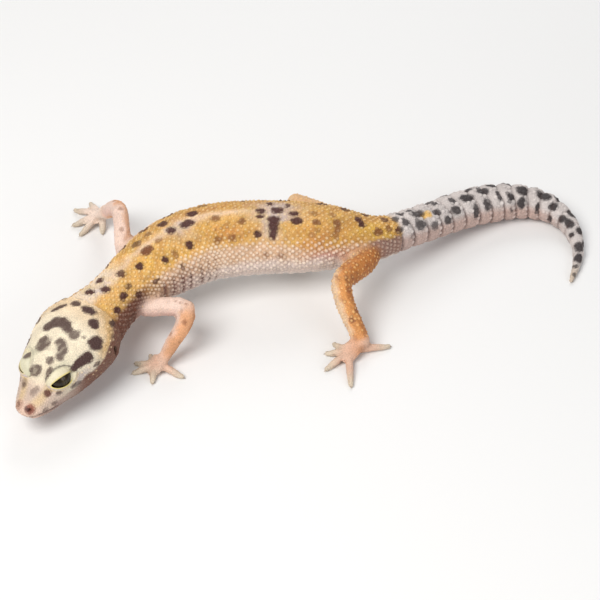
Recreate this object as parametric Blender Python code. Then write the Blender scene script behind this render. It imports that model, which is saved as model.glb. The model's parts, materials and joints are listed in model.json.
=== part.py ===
# Leopard gecko, life size: a still model that stands on its four feet with its belly clear of the
# floor, its head turned to its left and its ringed tail laid on the floor in a curve.
# X runs from the head (-) to the tail (+), Z is up. The origin is on the floor, under the middle of
# the whole animal. Lengths below are in millimetres.
import math

import bmesh
import bpy
from mathutils import Matrix, Vector

MM = 0.001
GAP = 0.3  # clear space between neighbouring solids

# Head
HEAD_TURN = 61.0  # degrees, from straight ahead (-X) round to the animal's left
HEAD_NOD = 5.0  # degrees, snout down
HEAD_ROLL = 3.5  # degrees, left cheek down
SNOUT_TIP = Vector((-68.5, -40.4, 7.7))
SNOUT_HEIGHT = 4.0  # of the snout tip over the chin line
EYE_RADIUS = 3.3
EYE_FROM_SNOUT = 12.0
EYE_FROM_MIDLINE = 3.95
EYE_OVER_CHIN = 8.2
LID_THICKNESS = 0.55
LID_SWELL = 0.45  # how far the head stands out round the lids
LID_REACH = 4.4
LID_OPENING = (3.25, 2.5, 1.65)  # half length, depth and half height of the almond between the lids
LID_OPENING_RISE = 38.0  # degrees, how far above level each eye looks
LID_OPENING_TURN = 20.0  # degrees, how far forward each eye looks

# Axis of the neck, trunk and tail: x, y, height, half width, half height
BODY_STATIONS = (
    (-61.1, -26.0, 11.6, 9.0, 7.0),
    (-53.7, -12.6, 11.6, 9.4, 7.4),
    (-50.0, -6.8, 11.7, 7.8, 7.3),
    (-46.2, -1.2, 12.1, 7.6, 7.6),
    (-40.8, 5.0, 12.9, 9.2, 8.5),
    (-34.0, 11.2, 13.4, 11.0, 9.0),
    (-25.0, 16.2, 13.7, 11.3, 9.2),
    (-14.0, 18.0, 13.8, 10.8, 9.2),
    (-2.0, 18.5, 13.7, 10.4, 9.1),
    (8.0, 18.7, 13.3, 9.1, 8.6),
    (16.2, 18.9, 12.5, 7.0, 7.2),
    (22.0, 20.5, 11.8, 5.8, 5.9),
    (28.5, 25.0, 10.6, 5.4, 5.4),
    (36.5, 31.0, 8.6, 5.4, 5.3),
    (44.7, 37.1, 6.9, 5.6, 5.4),
    (53.6, 42.0, 5.3, 5.7, 5.4),
    (62.3, 43.5, 4.7, 5.1, 4.85),
    (69.8, 41.7, 4.0, 4.2, 4.1),
    (75.0, 36.5, 2.9, 3.1, 3.0),
    (77.1, 29.0, 1.95, 2.15, 2.1),
    (76.3, 21.9, 1.3, 1.5, 1.4),
    (73.8, 14.8, 0.65, 0.7, 0.7),
)
NECK_START, TRUNK_START, HIPS_START, TAIL_START = 1.0, 3.0, 9.3, 11.4
TAIL_CUTS = (14.5, 17.2, 19.2)
TAIL_END = 21.0
TAIL_RINGS = 19
RING_GROOVE = 0.05  # depth of the groove between two tail rings, as a share of the radius
BODY_SIDES = 24
TAIL_SIDES = 16

# Limbs: x, y, height, radius of each station, from inside the body outwards
ARM_LEFT = (
    (-44.8, -3.2, 10.2, 3.1),
    (-40.4, -5.0, 10.4, 2.8),
    (-34.6, -6.3, 11.8, 2.65),
    (-29.4, -7.9, 12.4, 2.65),
    (-30.2, -11.4, 9.6, 2.4),
    (-32.8, -14.0, 6.4, 2.1),
    (-34.9, -16.1, 3.4, 1.75),
)
ARM_RIGHT = (
    (-44.8, 9.0, 12.4, 3.2),
    (-47.0, 14.4, 14.0, 2.6),
    (-47.8, 19.6, 16.2, 2.35),
    (-48.6, 24.8, 17.0, 2.4),
    (-50.2, 29.6, 14.4, 2.4),
    (-52.0, 33.6, 10.6, 2.3),
    (-53.4, 36.6, 7.2, 2.2),
)
LEG_LEFT = (
    (18.4, 15.6, 11.4, 4.0),
    (16.6, 10.2, 11.8, 3.6),
    (13.2, 5.6, 12.4, 3.3),
    (10.9, 1.8, 12.8, 2.9),
    (11.7, -2.7, 9.8, 2.7),
    (14.0, -7.1, 6.4, 2.5),
    (16.0, -10.5, 3.5, 2.4),
)
LEG_RIGHT = (
    (17.0, 22.4, 11.2, 4.0),
    (11.4, 25.6, 12.2, 3.6),
    (4.6, 28.8, 13.8, 3.1),
    (-1.1, 31.2, 14.8, 2.8),
    (0.4, 33.6, 11.0, 2.6),
    (4.0, 35.0, 7.0, 2.4),
    (6.6, 36.2, 3.6, 2.1),
)
# Hands and feet: the middle of the palm (x, y, height), then the point of each claw (x, y) in
# order, first toe to fifth
HAND_LEFT = (
    (-37.6, -17.7, 1.4),
    ((-39.2, -12.4), (-43.4, -15.8), (-43.8, -19.8), (-37.9, -23.6), (-29.4, -21.2)),
)
HAND_RIGHT = (
    (-56.6, 40.2, 2.8),
    ((-60.4, 48.2), (-65.0, 45.0), (-64.9, 37.8), (-62.2, 33.4), (-55.4, 34.0)),
)
FOOT_LEFT = (
    (12.6, -13.0, 1.5),
    ((8.3, -8.4), (6.0, -12.4), (6.1, -18.8), (13.1, -24.8), (24.2, -9.6)),
)
FOOT_RIGHT = (
    (4.2, 38.8, 1.5),
    ((7.8, 43.0), (1.4, 43.2), (-3.4, 40.8), (-6.0, 36.4), (9.4, 30.4)),
)
TOE_RADIUS = 1.08
# share of the way along a toe, its rise over a straight line, its share of TOE_RADIUS
TOE_PROFILE = ((0.0, 0.0, 0.95), (0.35, 0.25, 1.0), (0.65, 0.35, 0.9), (0.88, 0.1, 0.82), (1.0, 0.0, 0.6))
TOE_END_HEIGHT = 0.5
TOE_TIP_LENGTH = 0.35
# half width, reach up and reach down of the hand's or foot's sections
INSTEP_SIZES = (2.5, 1.6, 1.6)
PALM_SIZES = (3.0, 1.3, 1.5)
KNUCKLE_SIZES = (2.5, 0.8, 1.3)
KNUCKLES_AHEAD = 2.2  # of the middle of the palm
HEEL_SHARE = 0.7  # of the way from the wrist or ankle to the palm, where the fifth toe starts
CLAW_LENGTH = 0.85
CLAW_RADIUS = 0.3
CLAW_HEIGHT = 0.6  # of its root; its point hooks down to CLAW_POINT_HEIGHT
CLAW_POINT_HEIGHT = 0.2

SKIN_COLOURS = {
    "head": (0.80, 0.70, 0.45),
    "neck": (0.72, 0.52, 0.28),
    "trunk": (0.70, 0.44, 0.14),
    "hips": (0.72, 0.45, 0.14),
    "tail": (0.66, 0.58, 0.56),
    "limb": (0.75, 0.42, 0.22),
    "foot": (0.80, 0.60, 0.48),
    "eye": (0.03, 0.025, 0.02),
    "claw": (0.35, 0.30, 0.26),
}


def clear_scene():
    for old in list(bpy.data.objects):
        bpy.data.objects.remove(old, do_unlink=True)


def skin_material(kind):
    material = bpy.data.materials.get(kind) or bpy.data.materials.new(kind)
    material.use_nodes = True
    shader = material.node_tree.nodes["Principled BSDF"]
    shader.inputs["Base Color"].default_value = (*SKIN_COLOURS[kind], 1.0)
    shader.inputs["Roughness"].default_value = 0.08 if kind == "eye" else 0.6
    shader.inputs["Metallic"].default_value = 0.0
    return material


def finish_object(shape, name, kind, parent):
    bmesh.ops.recalc_face_normals(shape, faces=shape.faces)
    mesh = bpy.data.meshes.new(name)
    shape.to_mesh(mesh)
    shape.free()
    mesh.transform(Matrix.Scale(MM, 4))
    mesh.materials.append(skin_material(kind))
    mesh.shade_smooth()
    mesh.set_sharp_from_angle(angle=math.radians(60))
    made = bpy.data.objects.new(name, mesh)
    bpy.context.collection.objects.link(made)
    made.parent = parent
    return made


def hide_cutter(cutter):
    cutter.hide_render = True
    cutter.display_type = "WIRE"


def add_boolean(target, cutter, operation, solver="EXACT"):
    modifier = target.modifiers.new(operation.title(), "BOOLEAN")
    modifier.operation = operation
    modifier.solver = solver
    modifier.object = cutter


def smooth_value(values, place):
    """The smooth curve (Catmull-Rom) through evenly numbered values, at a fractional number."""
    low = max(0, min(len(values) - 2, int(math.floor(place))))
    t = place - low
    v1, v2 = values[low], values[low + 1]
    v0 = values[low - 1] if low else v1 * 2 - v2
    v3 = values[low + 2] if low + 2 < len(values) else v2 * 2 - v1
    return v1 + (v2 - v0) * (t / 2) + (v0 * 2 - v1 * 5 + v2 * 4 - v3) * (t * t / 2) + (
        v1 * 3 - v0 - v2 * 3 + v3
    ) * (t**3 / 2)


def path_at(stations, place):
    """Centre, direction and the two sizes of a row of stations at a fractional station number."""
    centres = [Vector(row[:3]) for row in stations]
    centre = smooth_value(centres, place)
    step = 0.02
    ahead = smooth_value(centres, min(place + step, len(stations) - 1))
    behind = smooth_value(centres, max(place - step, 0))
    width = smooth_value([row[3] for row in stations], place)
    height = smooth_value([row[-1] for row in stations], place)
    return centre, (ahead - behind).normalized(), width, height


def rounded(value, exponent):
    return math.copysign(abs(value) ** (2 / exponent), value)


def ring_points(centre, side, up, sizes, sides, exponent=2.2):
    """A rounded ring. sizes are the half width and the reach above and below the centre."""
    width, above, below = sizes
    points = []
    for number in range(sides):
        angle = 2 * math.pi * (number + 0.5) / sides
        across = rounded(math.cos(angle), exponent) * width
        lift = rounded(math.sin(angle), exponent) * (above if math.sin(angle) > 0 else below)
        points.append(centre + side * across + up * lift)
    return points


def loft(rings, end_tip=None, start_tip=None):
    """One closed body through rings of points, each end flat unless it is given a tip."""
    shape = bmesh.new()
    loops = [[shape.verts.new(point) for point in ring] for ring in rings]
    for near, far in zip(loops, loops[1:]):
        for number, corner in enumerate(near):
            after = (number + 1) % len(near)
            shape.faces.new((corner, near[after], far[after], far[number]))
    for loop, tip in ((loops[0], start_tip), (loops[-1], end_tip)):
        if tip is None:
            shape.faces.new(loop)
            continue
        point = shape.verts.new(tip)
        for number, corner in enumerate(loop):
            shape.faces.new((corner, loop[(number + 1) % len(loop)], point))
    return shape


# ---- the head ----

def head_axes():
    turn = math.radians(HEAD_TURN)
    nod = math.radians(HEAD_NOD)
    forward = Vector((-math.cos(turn) * math.cos(nod), -math.sin(turn) * math.cos(nod), -math.sin(nod)))
    left = Vector((0, 0, 1)).cross(forward).normalized()
    left = Matrix.Rotation(math.radians(-HEAD_ROLL), 3, forward) @ left
    return forward, left, forward.cross(left)


def head_point(from_snout, to_left, over_chin):
    forward, left, up = head_axes()
    return SNOUT_TIP - forward * from_snout + left * to_left + up * (over_chin - SNOUT_HEIGHT)


# distance from the snout tip, half width, top and underside over the chin line, squareness
HEAD_STATIONS = (
    (0.5, 1.7, 5.2, 2.9, 2.0),
    (1.4, 2.9, 6.0, 1.9, 2.0),
    (3.0, 4.0, 6.6, 1.1, 2.1),
    (5.2, 5.0, 7.5, 0.6, 2.2),
    (7.6, 6.0, 8.9, 0.4, 2.3),
    (10.0, 6.9, 10.6, 0.3, 2.5),
    (12.8, 8.2, 12.2, 0.2, 2.8),
    (15.6, 9.2, 13.0, 0.0, 2.5),
    (18.6, 10.2, 13.8, -0.2, 2.4),
    (21.6, 11.0, 14.4, -0.3, 2.35),
    (24.4, 11.4, 14.8, -0.3, 2.35),
    (27.0, 11.2, 15.0, -0.2, 2.3),
    (29.4, 10.3, 15.0, 0.0, 2.25),
    (31.4, 9.4, 14.9, 0.2, 2.2),
)
HEAD_SIDES = 28
WIDEST_SHARES = (0.3, 0.45)  # height of a section's widest line, as a share: at the snout and the jaws
JAWS_FROM_SNOUT = 24.0


def lid_push(point, sign):
    """How the lids swell over one eye: outwards and a little upwards, fading with distance."""
    _, left, up = head_axes()
    eye = head_point(EYE_FROM_SNOUT, sign * EYE_FROM_MIDLINE, EYE_OVER_CHIN)
    away = point - eye
    outward = away.dot(left) * sign
    if outward < 0:
        return Vector()
    beside = (away - left * (outward * sign)).length
    return (left * sign + up * 0.5) * (LID_SWELL * math.exp(-((beside / LID_REACH) ** 2)))


def build_head(parent):
    forward, left, up = head_axes()
    last = len(HEAD_STATIONS) - 1
    places = [number * 0.5 for number in range(2 * last + 1) if number < 15 or number % 2 == 0]
    rings = []
    for place in places:
        along = smooth_value([row[0] for row in HEAD_STATIONS], place)
        width = smooth_value([row[1] for row in HEAD_STATIONS], place)
        top = smooth_value([row[2] for row in HEAD_STATIONS], place)
        bottom = smooth_value([row[3] for row in HEAD_STATIONS], place)
        back = min(1.0, along / JAWS_FROM_SNOUT)
        middle = bottom + (top - bottom) * (WIDEST_SHARES[0] * (1 - back) + WIDEST_SHARES[1] * back)
        squareness = smooth_value([row[4] for row in HEAD_STATIONS], place)
        centre = head_point(along, 0, middle)
        sizes = (width, top - middle, middle - bottom)
        ring = ring_points(centre, left, up, sizes, HEAD_SIDES, squareness)
        for sign in (1, -1):
            ring = [point + lid_push(point, sign) for point in ring]
        rings.append(ring)
    shape = loft(rings, start_tip=head_point(0, 0, SNOUT_HEIGHT))
    head = finish_object(shape, "head", "head", parent)
    for side_name, sign in (("left", 1), ("right", -1)):
        middle = head_point(EYE_FROM_SNOUT, sign * EYE_FROM_MIDLINE, EYE_OVER_CHIN)
        lids = ball("lids_" + side_name, middle, EYE_RADIUS + GAP + LID_THICKNESS, parent)
        socket = ball("socket_" + side_name, middle, EYE_RADIUS + GAP, parent)
        opening = build_lid_opening("lid_opening_" + side_name, middle, sign, parent)
        for cutter, operation in ((lids, "UNION"), (socket, "DIFFERENCE"), (opening, "DIFFERENCE")):
            hide_cutter(cutter)
            add_boolean(head, cutter, operation)
        ball("eye_" + side_name, middle, EYE_RADIUS, parent)


def build_lid_opening(name, eye_middle, sign, parent):
    """The almond between the lids, cut from the outside through to the socket."""
    forward, left, up = head_axes()
    rise = math.radians(LID_OPENING_RISE)
    turn = math.radians(LID_OPENING_TURN)
    beside = left * (sign * math.cos(turn)) + forward * math.sin(turn)
    along = forward * math.cos(turn) - left * (sign * math.sin(turn))
    outward = beside * math.cos(rise) + up * math.sin(rise)
    shape = bmesh.new()
    bmesh.ops.create_uvsphere(shape, u_segments=12, v_segments=6, radius=1.0)
    bmesh.ops.scale(shape, verts=shape.verts, vec=LID_OPENING)
    turned = Matrix((along, outward, along.cross(outward))).transposed()
    bmesh.ops.rotate(shape, verts=shape.verts, matrix=turned)
    bmesh.ops.translate(shape, verts=shape.verts, vec=eye_middle + outward * (EYE_RADIUS + GAP))
    return finish_object(shape, name, "eye", parent)


def ball(name, middle, radius, parent):
    shape = bmesh.new()
    bmesh.ops.create_uvsphere(shape, u_segments=12, v_segments=8, radius=radius)
    bmesh.ops.translate(shape, verts=shape.verts, vec=middle)
    return finish_object(shape, name, "eye", parent)


# ---- neck, trunk, hips and tail ----

def body_ring(place, grow=0.0, sides=BODY_SIDES, groove=0.0):
    centre, along, width, height = path_at(BODY_STATIONS, place)
    side = along.cross(Vector((0, 0, 1))).normalized()
    up = side.cross(along)
    width = width * (1 - groove) + grow
    height = height * (1 - groove) + grow
    return ring_points(centre, side, up, (width, height, height), sides)


def between(start, end, count):
    return [start + (end - start) * number / (count - 1) for number in range(count)]


def gap_in_stations(place):
    """Half the gap between two solids, as a part of the way to the next station."""
    ahead = path_at(BODY_STATIONS, place + 0.02)[0]
    behind = path_at(BODY_STATIONS, place - 0.02)[0]
    return 0.04 * (GAP / 2) / (ahead - behind).length


def build_length(name, kind, start, end, count, parent):
    """One length of the neck or trunk, with a flat cut at each end."""
    places = between(start + gap_in_stations(start), end - gap_in_stations(end), count)
    return finish_object(loft([body_ring(place) for place in places]), name, kind, parent)


def build_head_end(parent):
    """A block that takes up the back of the head and the gap behind it, to cut the neck with."""
    forward, left, up = head_axes()
    shape = bmesh.new()
    bmesh.ops.create_cube(shape, size=1.0)
    bmesh.ops.scale(shape, verts=shape.verts, vec=(12, 40, 40))
    turned = Matrix((forward, left, up)).transposed()
    bmesh.ops.rotate(shape, verts=shape.verts, matrix=turned)
    middle = head_point(HEAD_STATIONS[-1][0] + GAP - 6, 0, 7.5)
    bmesh.ops.translate(shape, verts=shape.verts, vec=middle)
    block = finish_object(shape, "head_end", "head", parent)
    hide_cutter(block)
    return block


def ring_groove_at(place):
    """The tail narrows between its rings: 0 on a ring's crest, RING_GROOVE in the groove."""
    count = TAIL_RINGS * (place - TAIL_START) / (TAIL_END - TAIL_START)
    return RING_GROOVE * abs(math.cos(math.pi * count)) ** 3


def build_tail(floor, parent):
    half_ring = (TAIL_END - TAIL_START) / (2 * TAIL_RINGS)
    crests = [TAIL_START + half_ring * number for number in range(2 * TAIL_RINGS + 1)]
    cuts = (TAIL_START, *TAIL_CUTS, TAIL_END)
    for number, name in enumerate(("tail_base", "tail_middle", "tail_end", "tail_tip")):
        start = cuts[number] + gap_in_stations(cuts[number])
        last = number == len(cuts) - 2
        end = cuts[number + 1] - (0.01 if last else gap_in_stations(cuts[number + 1]))
        margin = half_ring * 0.25
        places = [start] + [c for c in crests if start + margin < c < end - margin] + [end]
        rings = [body_ring(place, 0.0, TAIL_SIDES, ring_groove_at(place)) for place in places]
        tip = path_at(BODY_STATIONS, TAIL_END)
        shape = loft(rings, end_tip=tip[0] + tip[1] * 0.8 if last else None)
        tail = finish_object(shape, name, "tail", parent)
        add_boolean(tail, floor, "DIFFERENCE")


def build_trunk(parent):
    neck = build_length("neck", "neck", NECK_START - 0.2, TRUNK_START, 6, parent)
    add_boolean(neck, build_head_end(parent), "DIFFERENCE")
    build_length("trunk", "trunk", TRUNK_START, HIPS_START, 13, parent)
    build_length("hips", "hips", HIPS_START, TAIL_START, 6, parent)
    places = between(NECK_START + 0.2, TAIL_START + 1.0, 26)
    shape = loft([body_ring(place, GAP) for place in places])
    clearance = finish_object(shape, "body_clearance", "trunk", parent)
    hide_cutter(clearance)
    return clearance


# ---- limbs ----

LIMB_SIDES = 12
JOINT_STATION = 3.0  # number of the elbow's or knee's station


def tube_rings(stations, start, end, count, sides):
    """Round rings along a limb, turned as little as possible from one to the next."""
    rings = []
    side = None
    for place in between(start, end, count):
        centre, along, radius, _ = path_at(stations, place)
        if side is None:
            side = along.cross(Vector((0.13, 0.21, 1.0))).normalized()
        side = (side - along * side.dot(along)).normalized()
        up = side.cross(along)
        rings.append(ring_points(centre, side, up, (radius, radius, radius), sides, 2.0))
    return rings


def station_gap(stations, place):
    here = path_at(stations, place)[0]
    after = path_at(stations, place + 0.05)[0]
    return 0.05 * (GAP / 2) / (after - here).length


def build_limb(stations, names, clearance, parent):
    upper_name, lower_name = names
    half = station_gap(stations, JOINT_STATION)
    end = len(stations) - 1.0
    upper = loft(tube_rings(stations, 0.0, JOINT_STATION - half, 9, LIMB_SIDES))
    upper = finish_object(upper, upper_name, "limb", parent)
    add_boolean(upper, clearance, "DIFFERENCE")
    lower = loft(tube_rings(stations, JOINT_STATION + half, end, 9, LIMB_SIDES))
    lower = finish_object(lower, lower_name, "limb", parent)
    grown = [(*row[:3], row[3] + GAP) for row in stations]
    bend = loft(tube_rings(grown, 1.0, JOINT_STATION - half, 6, LIMB_SIDES))
    bend = finish_object(bend, upper_name + "_clearance", "limb", parent)
    hide_cutter(bend)
    add_boolean(lower, bend, "DIFFERENCE")


# ---- hands, feet and claws ----

PALM_SIDES = 11
TOE_SIDES = 8


def build_palm(wrist, palm_middle, name, parent):
    """From the flat cut of the wrist over the back of the hand to the roots of the toes."""
    end, along, radius, _ = path_at(wrist, len(wrist) - 1.0)
    start = end + along * GAP
    middle = Vector(palm_middle)
    heading = middle - start
    flat = Vector((heading.x, heading.y, 0)).normalized()
    front = middle + flat * KNUCKLES_AHEAD + Vector((0, 0, -0.35 * middle.z))
    side = flat.cross(Vector((0, 0, 1)))
    wrist_side = (side - along * side.dot(along)).normalized()
    wrist_up = wrist_side.cross(along)
    rings = [ring_points(start, wrist_side, wrist_up, (radius, radius, radius), PALM_SIDES, 2.0)]
    halfway = start.lerp(middle, 0.5) + Vector((0, 0, 0.3))
    slope_up = side.cross(heading.normalized())
    rings.append(ring_points(halfway, side, slope_up, INSTEP_SIZES, PALM_SIDES))
    rings.append(ring_points(middle, side, Vector((0, 0, 1)), PALM_SIZES, PALM_SIDES))
    rings.append(ring_points(front, side, Vector((0, 0, 1)), KNUCKLE_SIZES, PALM_SIDES))
    return finish_object(loft(rings), name, "foot", parent)


def toe_stations(root, claw_point):
    """The toe arches a little from its root and comes down to its pad."""
    ahead = Vector((claw_point[0] - root.x, claw_point[1] - root.y, 0)).normalized()
    end = Vector((*claw_point, TOE_END_HEIGHT)) - ahead * (CLAW_LENGTH + GAP + TOE_TIP_LENGTH)
    rows = []
    for share, lift, radius in TOE_PROFILE:
        point = root.lerp(end, share) + Vector((0, 0, lift))
        rows.append((*point, radius * TOE_RADIUS))
    return rows


def build_foot(limb_stations, plan, name, floor, parent):
    palm_middle, claw_points = plan
    palm = build_palm(limb_stations, palm_middle, name, parent)
    heel = Vector(limb_stations[-1][:3]).lerp(Vector(palm_middle), HEEL_SHARE)
    for number, claw_point in enumerate(claw_points, 1):
        root = Vector(palm_middle)
        if number == 5:
            root = Vector((heel.x, heel.y, palm_middle[2] + 0.1))
        rows = toe_stations(root, claw_point)
        rings = tube_rings(rows, 0.0, len(rows) - 1.0, 6, TOE_SIDES)
        end, along, radius, _ = path_at(rows, len(rows) - 1.0)
        tip = end + along * TOE_TIP_LENGTH
        toe = finish_object(loft(rings, end_tip=tip), f"{name}_toe_{number}", "foot", parent)
        hide_cutter(toe)
        add_boolean(palm, toe, "UNION", "MANIFOLD")
        build_claw(f"{name}_claw_{number}", tip, along, parent)
    last = len(limb_stations) - 1.0
    grown = [(*row[:3], row[3] + GAP) for row in limb_stations]
    rings = tube_rings(grown, JOINT_STATION + 0.5, last, 6, LIMB_SIDES)
    clearance = finish_object(loft(rings), f"{name}_clearance", "limb", parent)
    hide_cutter(clearance)
    add_boolean(palm, clearance, "DIFFERENCE", "MANIFOLD")
    add_boolean(palm, floor, "DIFFERENCE", "MANIFOLD")


def build_claw(name, toe_tip, along, parent):
    """A short cone that hooks down towards the floor."""
    flat = Vector((along.x, along.y, 0)).normalized()
    side = flat.cross(Vector((0, 0, 1)))
    start = Vector((toe_tip.x, toe_tip.y, CLAW_HEIGHT)) + flat * GAP
    rings = []
    for share in (0.0, 0.5):
        radius = CLAW_RADIUS * (1 - 0.6 * share)
        centre = start + flat * (CLAW_LENGTH * share) + Vector((0, 0, -0.2 * share))
        rings.append(ring_points(centre, side, Vector((0, 0, 1)), (radius, radius, radius), 5, 2.0))
    tip = Vector((start.x, start.y, CLAW_POINT_HEIGHT)) + flat * CLAW_LENGTH
    finish_object(loft(rings, end_tip=tip), name, "claw", parent)


def build_floor_cutter(parent):
    """A slab under the animal, whose top is the floor."""
    shape = bmesh.new()
    bmesh.ops.create_cube(shape, size=1.0)
    bmesh.ops.scale(shape, verts=shape.verts, vec=(240, 180, 20))
    bmesh.ops.translate(shape, verts=shape.verts, vec=(0, 0, -10))
    slab = finish_object(shape, "floor_slab", "foot", parent)
    hide_cutter(slab)
    return slab


def centre_on_origin(root):
    """Moves the whole animal so that the middle of its footprint is at the origin."""
    bpy.context.view_layer.update()
    corners = []
    for part in root.children:
        if part.type == "MESH" and not part.hide_render:
            corners += [Vector(corner) for corner in part.bound_box]
    root.location.x = -(min(c.x for c in corners) + max(c.x for c in corners)) / 2
    root.location.y = -(min(c.y for c in corners) + max(c.y for c in corners)) / 2


def main():
    clear_scene()
    root = bpy.data.objects.new("gecko", None)
    bpy.context.collection.objects.link(root)
    floor = build_floor_cutter(root)
    build_head(root)
    clearance = build_trunk(root)
    build_tail(floor, root)
    build_limb(ARM_LEFT, ("upper_arm_left", "forearm_left"), clearance, root)
    build_limb(ARM_RIGHT, ("upper_arm_right", "forearm_right"), clearance, root)
    build_limb(LEG_LEFT, ("thigh_left", "shank_left"), clearance, root)
    build_limb(LEG_RIGHT, ("thigh_right", "shank_right"), clearance, root)
    build_foot(ARM_LEFT, HAND_LEFT, "hand_left", floor, root)
    build_foot(ARM_RIGHT, HAND_RIGHT, "hand_right", floor, root)
    build_foot(LEG_LEFT, FOOT_LEFT, "foot_left", floor, root)
    build_foot(LEG_RIGHT, FOOT_RIGHT, "foot_right", floor, root)
    centre_on_origin(root)


main()
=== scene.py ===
import json
import math

import bpy
import numpy as np
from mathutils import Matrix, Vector
from mathutils.bvhtree import BVHTree
from mathutils.kdtree import KDTree

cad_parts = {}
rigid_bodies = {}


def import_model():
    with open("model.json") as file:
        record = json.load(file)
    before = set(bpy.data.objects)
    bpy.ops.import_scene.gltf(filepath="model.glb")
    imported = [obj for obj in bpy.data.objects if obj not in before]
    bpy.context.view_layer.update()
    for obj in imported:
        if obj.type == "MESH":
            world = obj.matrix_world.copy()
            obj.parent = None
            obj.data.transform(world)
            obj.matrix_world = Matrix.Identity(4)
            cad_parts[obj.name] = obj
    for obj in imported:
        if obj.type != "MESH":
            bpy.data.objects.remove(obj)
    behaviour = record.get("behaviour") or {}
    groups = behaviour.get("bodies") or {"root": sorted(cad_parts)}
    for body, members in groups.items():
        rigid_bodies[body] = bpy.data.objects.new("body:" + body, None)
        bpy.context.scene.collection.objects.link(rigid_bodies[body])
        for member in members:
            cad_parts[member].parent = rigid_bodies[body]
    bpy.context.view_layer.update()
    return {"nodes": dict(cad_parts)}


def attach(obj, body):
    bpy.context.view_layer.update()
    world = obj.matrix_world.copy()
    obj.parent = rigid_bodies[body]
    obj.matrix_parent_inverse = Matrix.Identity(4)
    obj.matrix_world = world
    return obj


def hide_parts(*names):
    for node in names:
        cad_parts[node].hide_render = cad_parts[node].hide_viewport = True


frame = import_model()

# Leopard gecko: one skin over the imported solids, with its scales, warts, lids and eyes on top.
# Lengths are in millimetres until a mesh is written, and mm turns them into metres.
mm = 0.001
random = np.random.default_rng(7)

pose = {
    "shift": (-4.293, -3.930, 0.0),  # the stations below are written before the animal is centred
    "headTurn": 61.0,
    "headNod": 5.0,
    "headRoll": 3.5,
    "snoutTip": (-68.5, -40.4, 7.7),
    "snoutHeight": 4.0,
    "spine": (  # from the jaws to the tail's tip
        (-61.1, -26.0, 11.6), (-53.7, -12.6, 11.6), (-50.0, -6.8, 11.7), (-46.2, -1.2, 12.1),
        (-40.8, 5.0, 12.9), (-34.0, 11.2, 13.4), (-25.0, 16.2, 13.7), (-14.0, 18.0, 13.8),
        (-2.0, 18.5, 13.7), (8.0, 18.7, 13.3), (16.2, 18.9, 12.5), (22.0, 20.5, 11.8),
        (28.5, 25.0, 10.6), (36.5, 31.0, 8.6), (44.7, 37.1, 6.9), (53.6, 42.0, 5.3),
        (62.3, 43.5, 4.7), (69.8, 41.7, 4.0), (75.0, 36.5, 2.9), (77.1, 29.0, 1.95),
        (76.3, 21.9, 1.3), (73.8, 14.8, 0.65),
    ),
    "spineSamples": 1900,
    "limbSamples": 240,
    "limbs": {  # from inside the body to the wrist or ankle, then the palm or sole
        "armLeft": ((-44.8, -3.2, 10.2), (-40.4, -5.0, 10.4), (-34.6, -6.3, 11.8), (-29.4, -7.9, 12.4),
                    (-30.2, -11.4, 9.6), (-32.8, -14.0, 6.4), (-34.9, -16.1, 3.4), (-37.6, -17.7, 1.4)),
        "armRight": ((-44.8, 9.0, 12.4), (-47.0, 14.4, 14.0), (-47.8, 19.6, 16.2), (-48.6, 24.8, 17.0),
                     (-50.2, 29.6, 14.4), (-52.0, 33.6, 10.6), (-53.4, 36.6, 7.2), (-56.6, 40.2, 2.8)),
        "legLeft": ((18.4, 15.6, 11.4), (16.6, 10.2, 11.8), (13.2, 5.6, 12.4), (10.9, 1.8, 12.8),
                    (11.7, -2.7, 9.8), (14.0, -7.1, 6.4), (16.0, -10.5, 3.5), (12.6, -13.0, 1.5)),
        "legRight": ((17.0, 22.4, 11.2), (11.4, 25.6, 12.2), (4.6, 28.8, 13.8), (-1.1, 31.2, 14.8),
                     (0.4, 33.6, 11.0), (4.0, 35.0, 7.0), (6.6, 36.2, 3.6), (4.2, 38.8, 1.5)),
    },
    "toes": {  # the middle of each palm or sole, and where its claws point
        "hand_left": ((-37.6, -17.7), (
            (-39.2, -12.4), (-43.4, -15.8), (-43.8, -19.8), (-37.9, -23.6), (-29.4, -21.2))),
        "hand_right": ((-56.6, 40.2), (
            (-60.4, 48.2), (-65.0, 45.0), (-64.9, 37.8), (-62.2, 33.4), (-55.4, 34.0))),
        "foot_left": ((12.6, -13.0), (
            (8.3, -8.4), (6.0, -12.4), (6.1, -18.8), (13.1, -24.8), (24.2, -9.6))),
        "foot_right": ((4.2, 38.8), (
            (7.8, 43.0), (1.4, 43.2), (-3.4, 40.8), (-6.0, 36.4), (9.4, 30.4))),
    },
}
shift = np.array(pose["shift"])


# small helpers
def deselectAll():
    for other in bpy.context.scene.objects:
        other.select_set(False)


def makeActive(piece):
    deselectAll()
    piece.select_set(True)
    bpy.context.view_layer.objects.active = piece


def smoothStep(low, high, value):
    t = np.clip((value - low) / (high - low), 0.0, 1.0)
    return t * t * (3 - 2 * t)


def fadeOut(low, high, value):
    return 1 - smoothStep(low, high, value)


def bump(value, middle, width):
    return np.exp(-(((value - middle) / width) ** 2))


def distance(points, place):
    return np.linalg.norm(points - place, axis=1)


def gapToLine(points, start, end):
    # how far each point is from a straight line, and how far along it
    along = end - start
    t = np.clip((points - start) @ along / (along @ along), 0, 1)
    return np.linalg.norm(points - start - t[:, None] * along, axis=1), t


def linear(colour):
    # a screen colour, 0 to 255, as the light it stands for
    colour = np.asarray(colour, float) / 255
    return np.where(colour < 0.04045, colour / 12.92, ((colour + 0.055) / 1.055) ** 2.4)


def blendTo(base, colour, share):
    return base + (linear(colour) - base) * share[:, None]


def fromRows(rows, what, width, kind=np.float32):
    # one property of all a mesh's vertices, edges or faces, as an array
    flat = np.empty(len(rows) * width, kind)
    rows.foreach_get(what, flat)
    return flat.reshape(-1, width)


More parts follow.
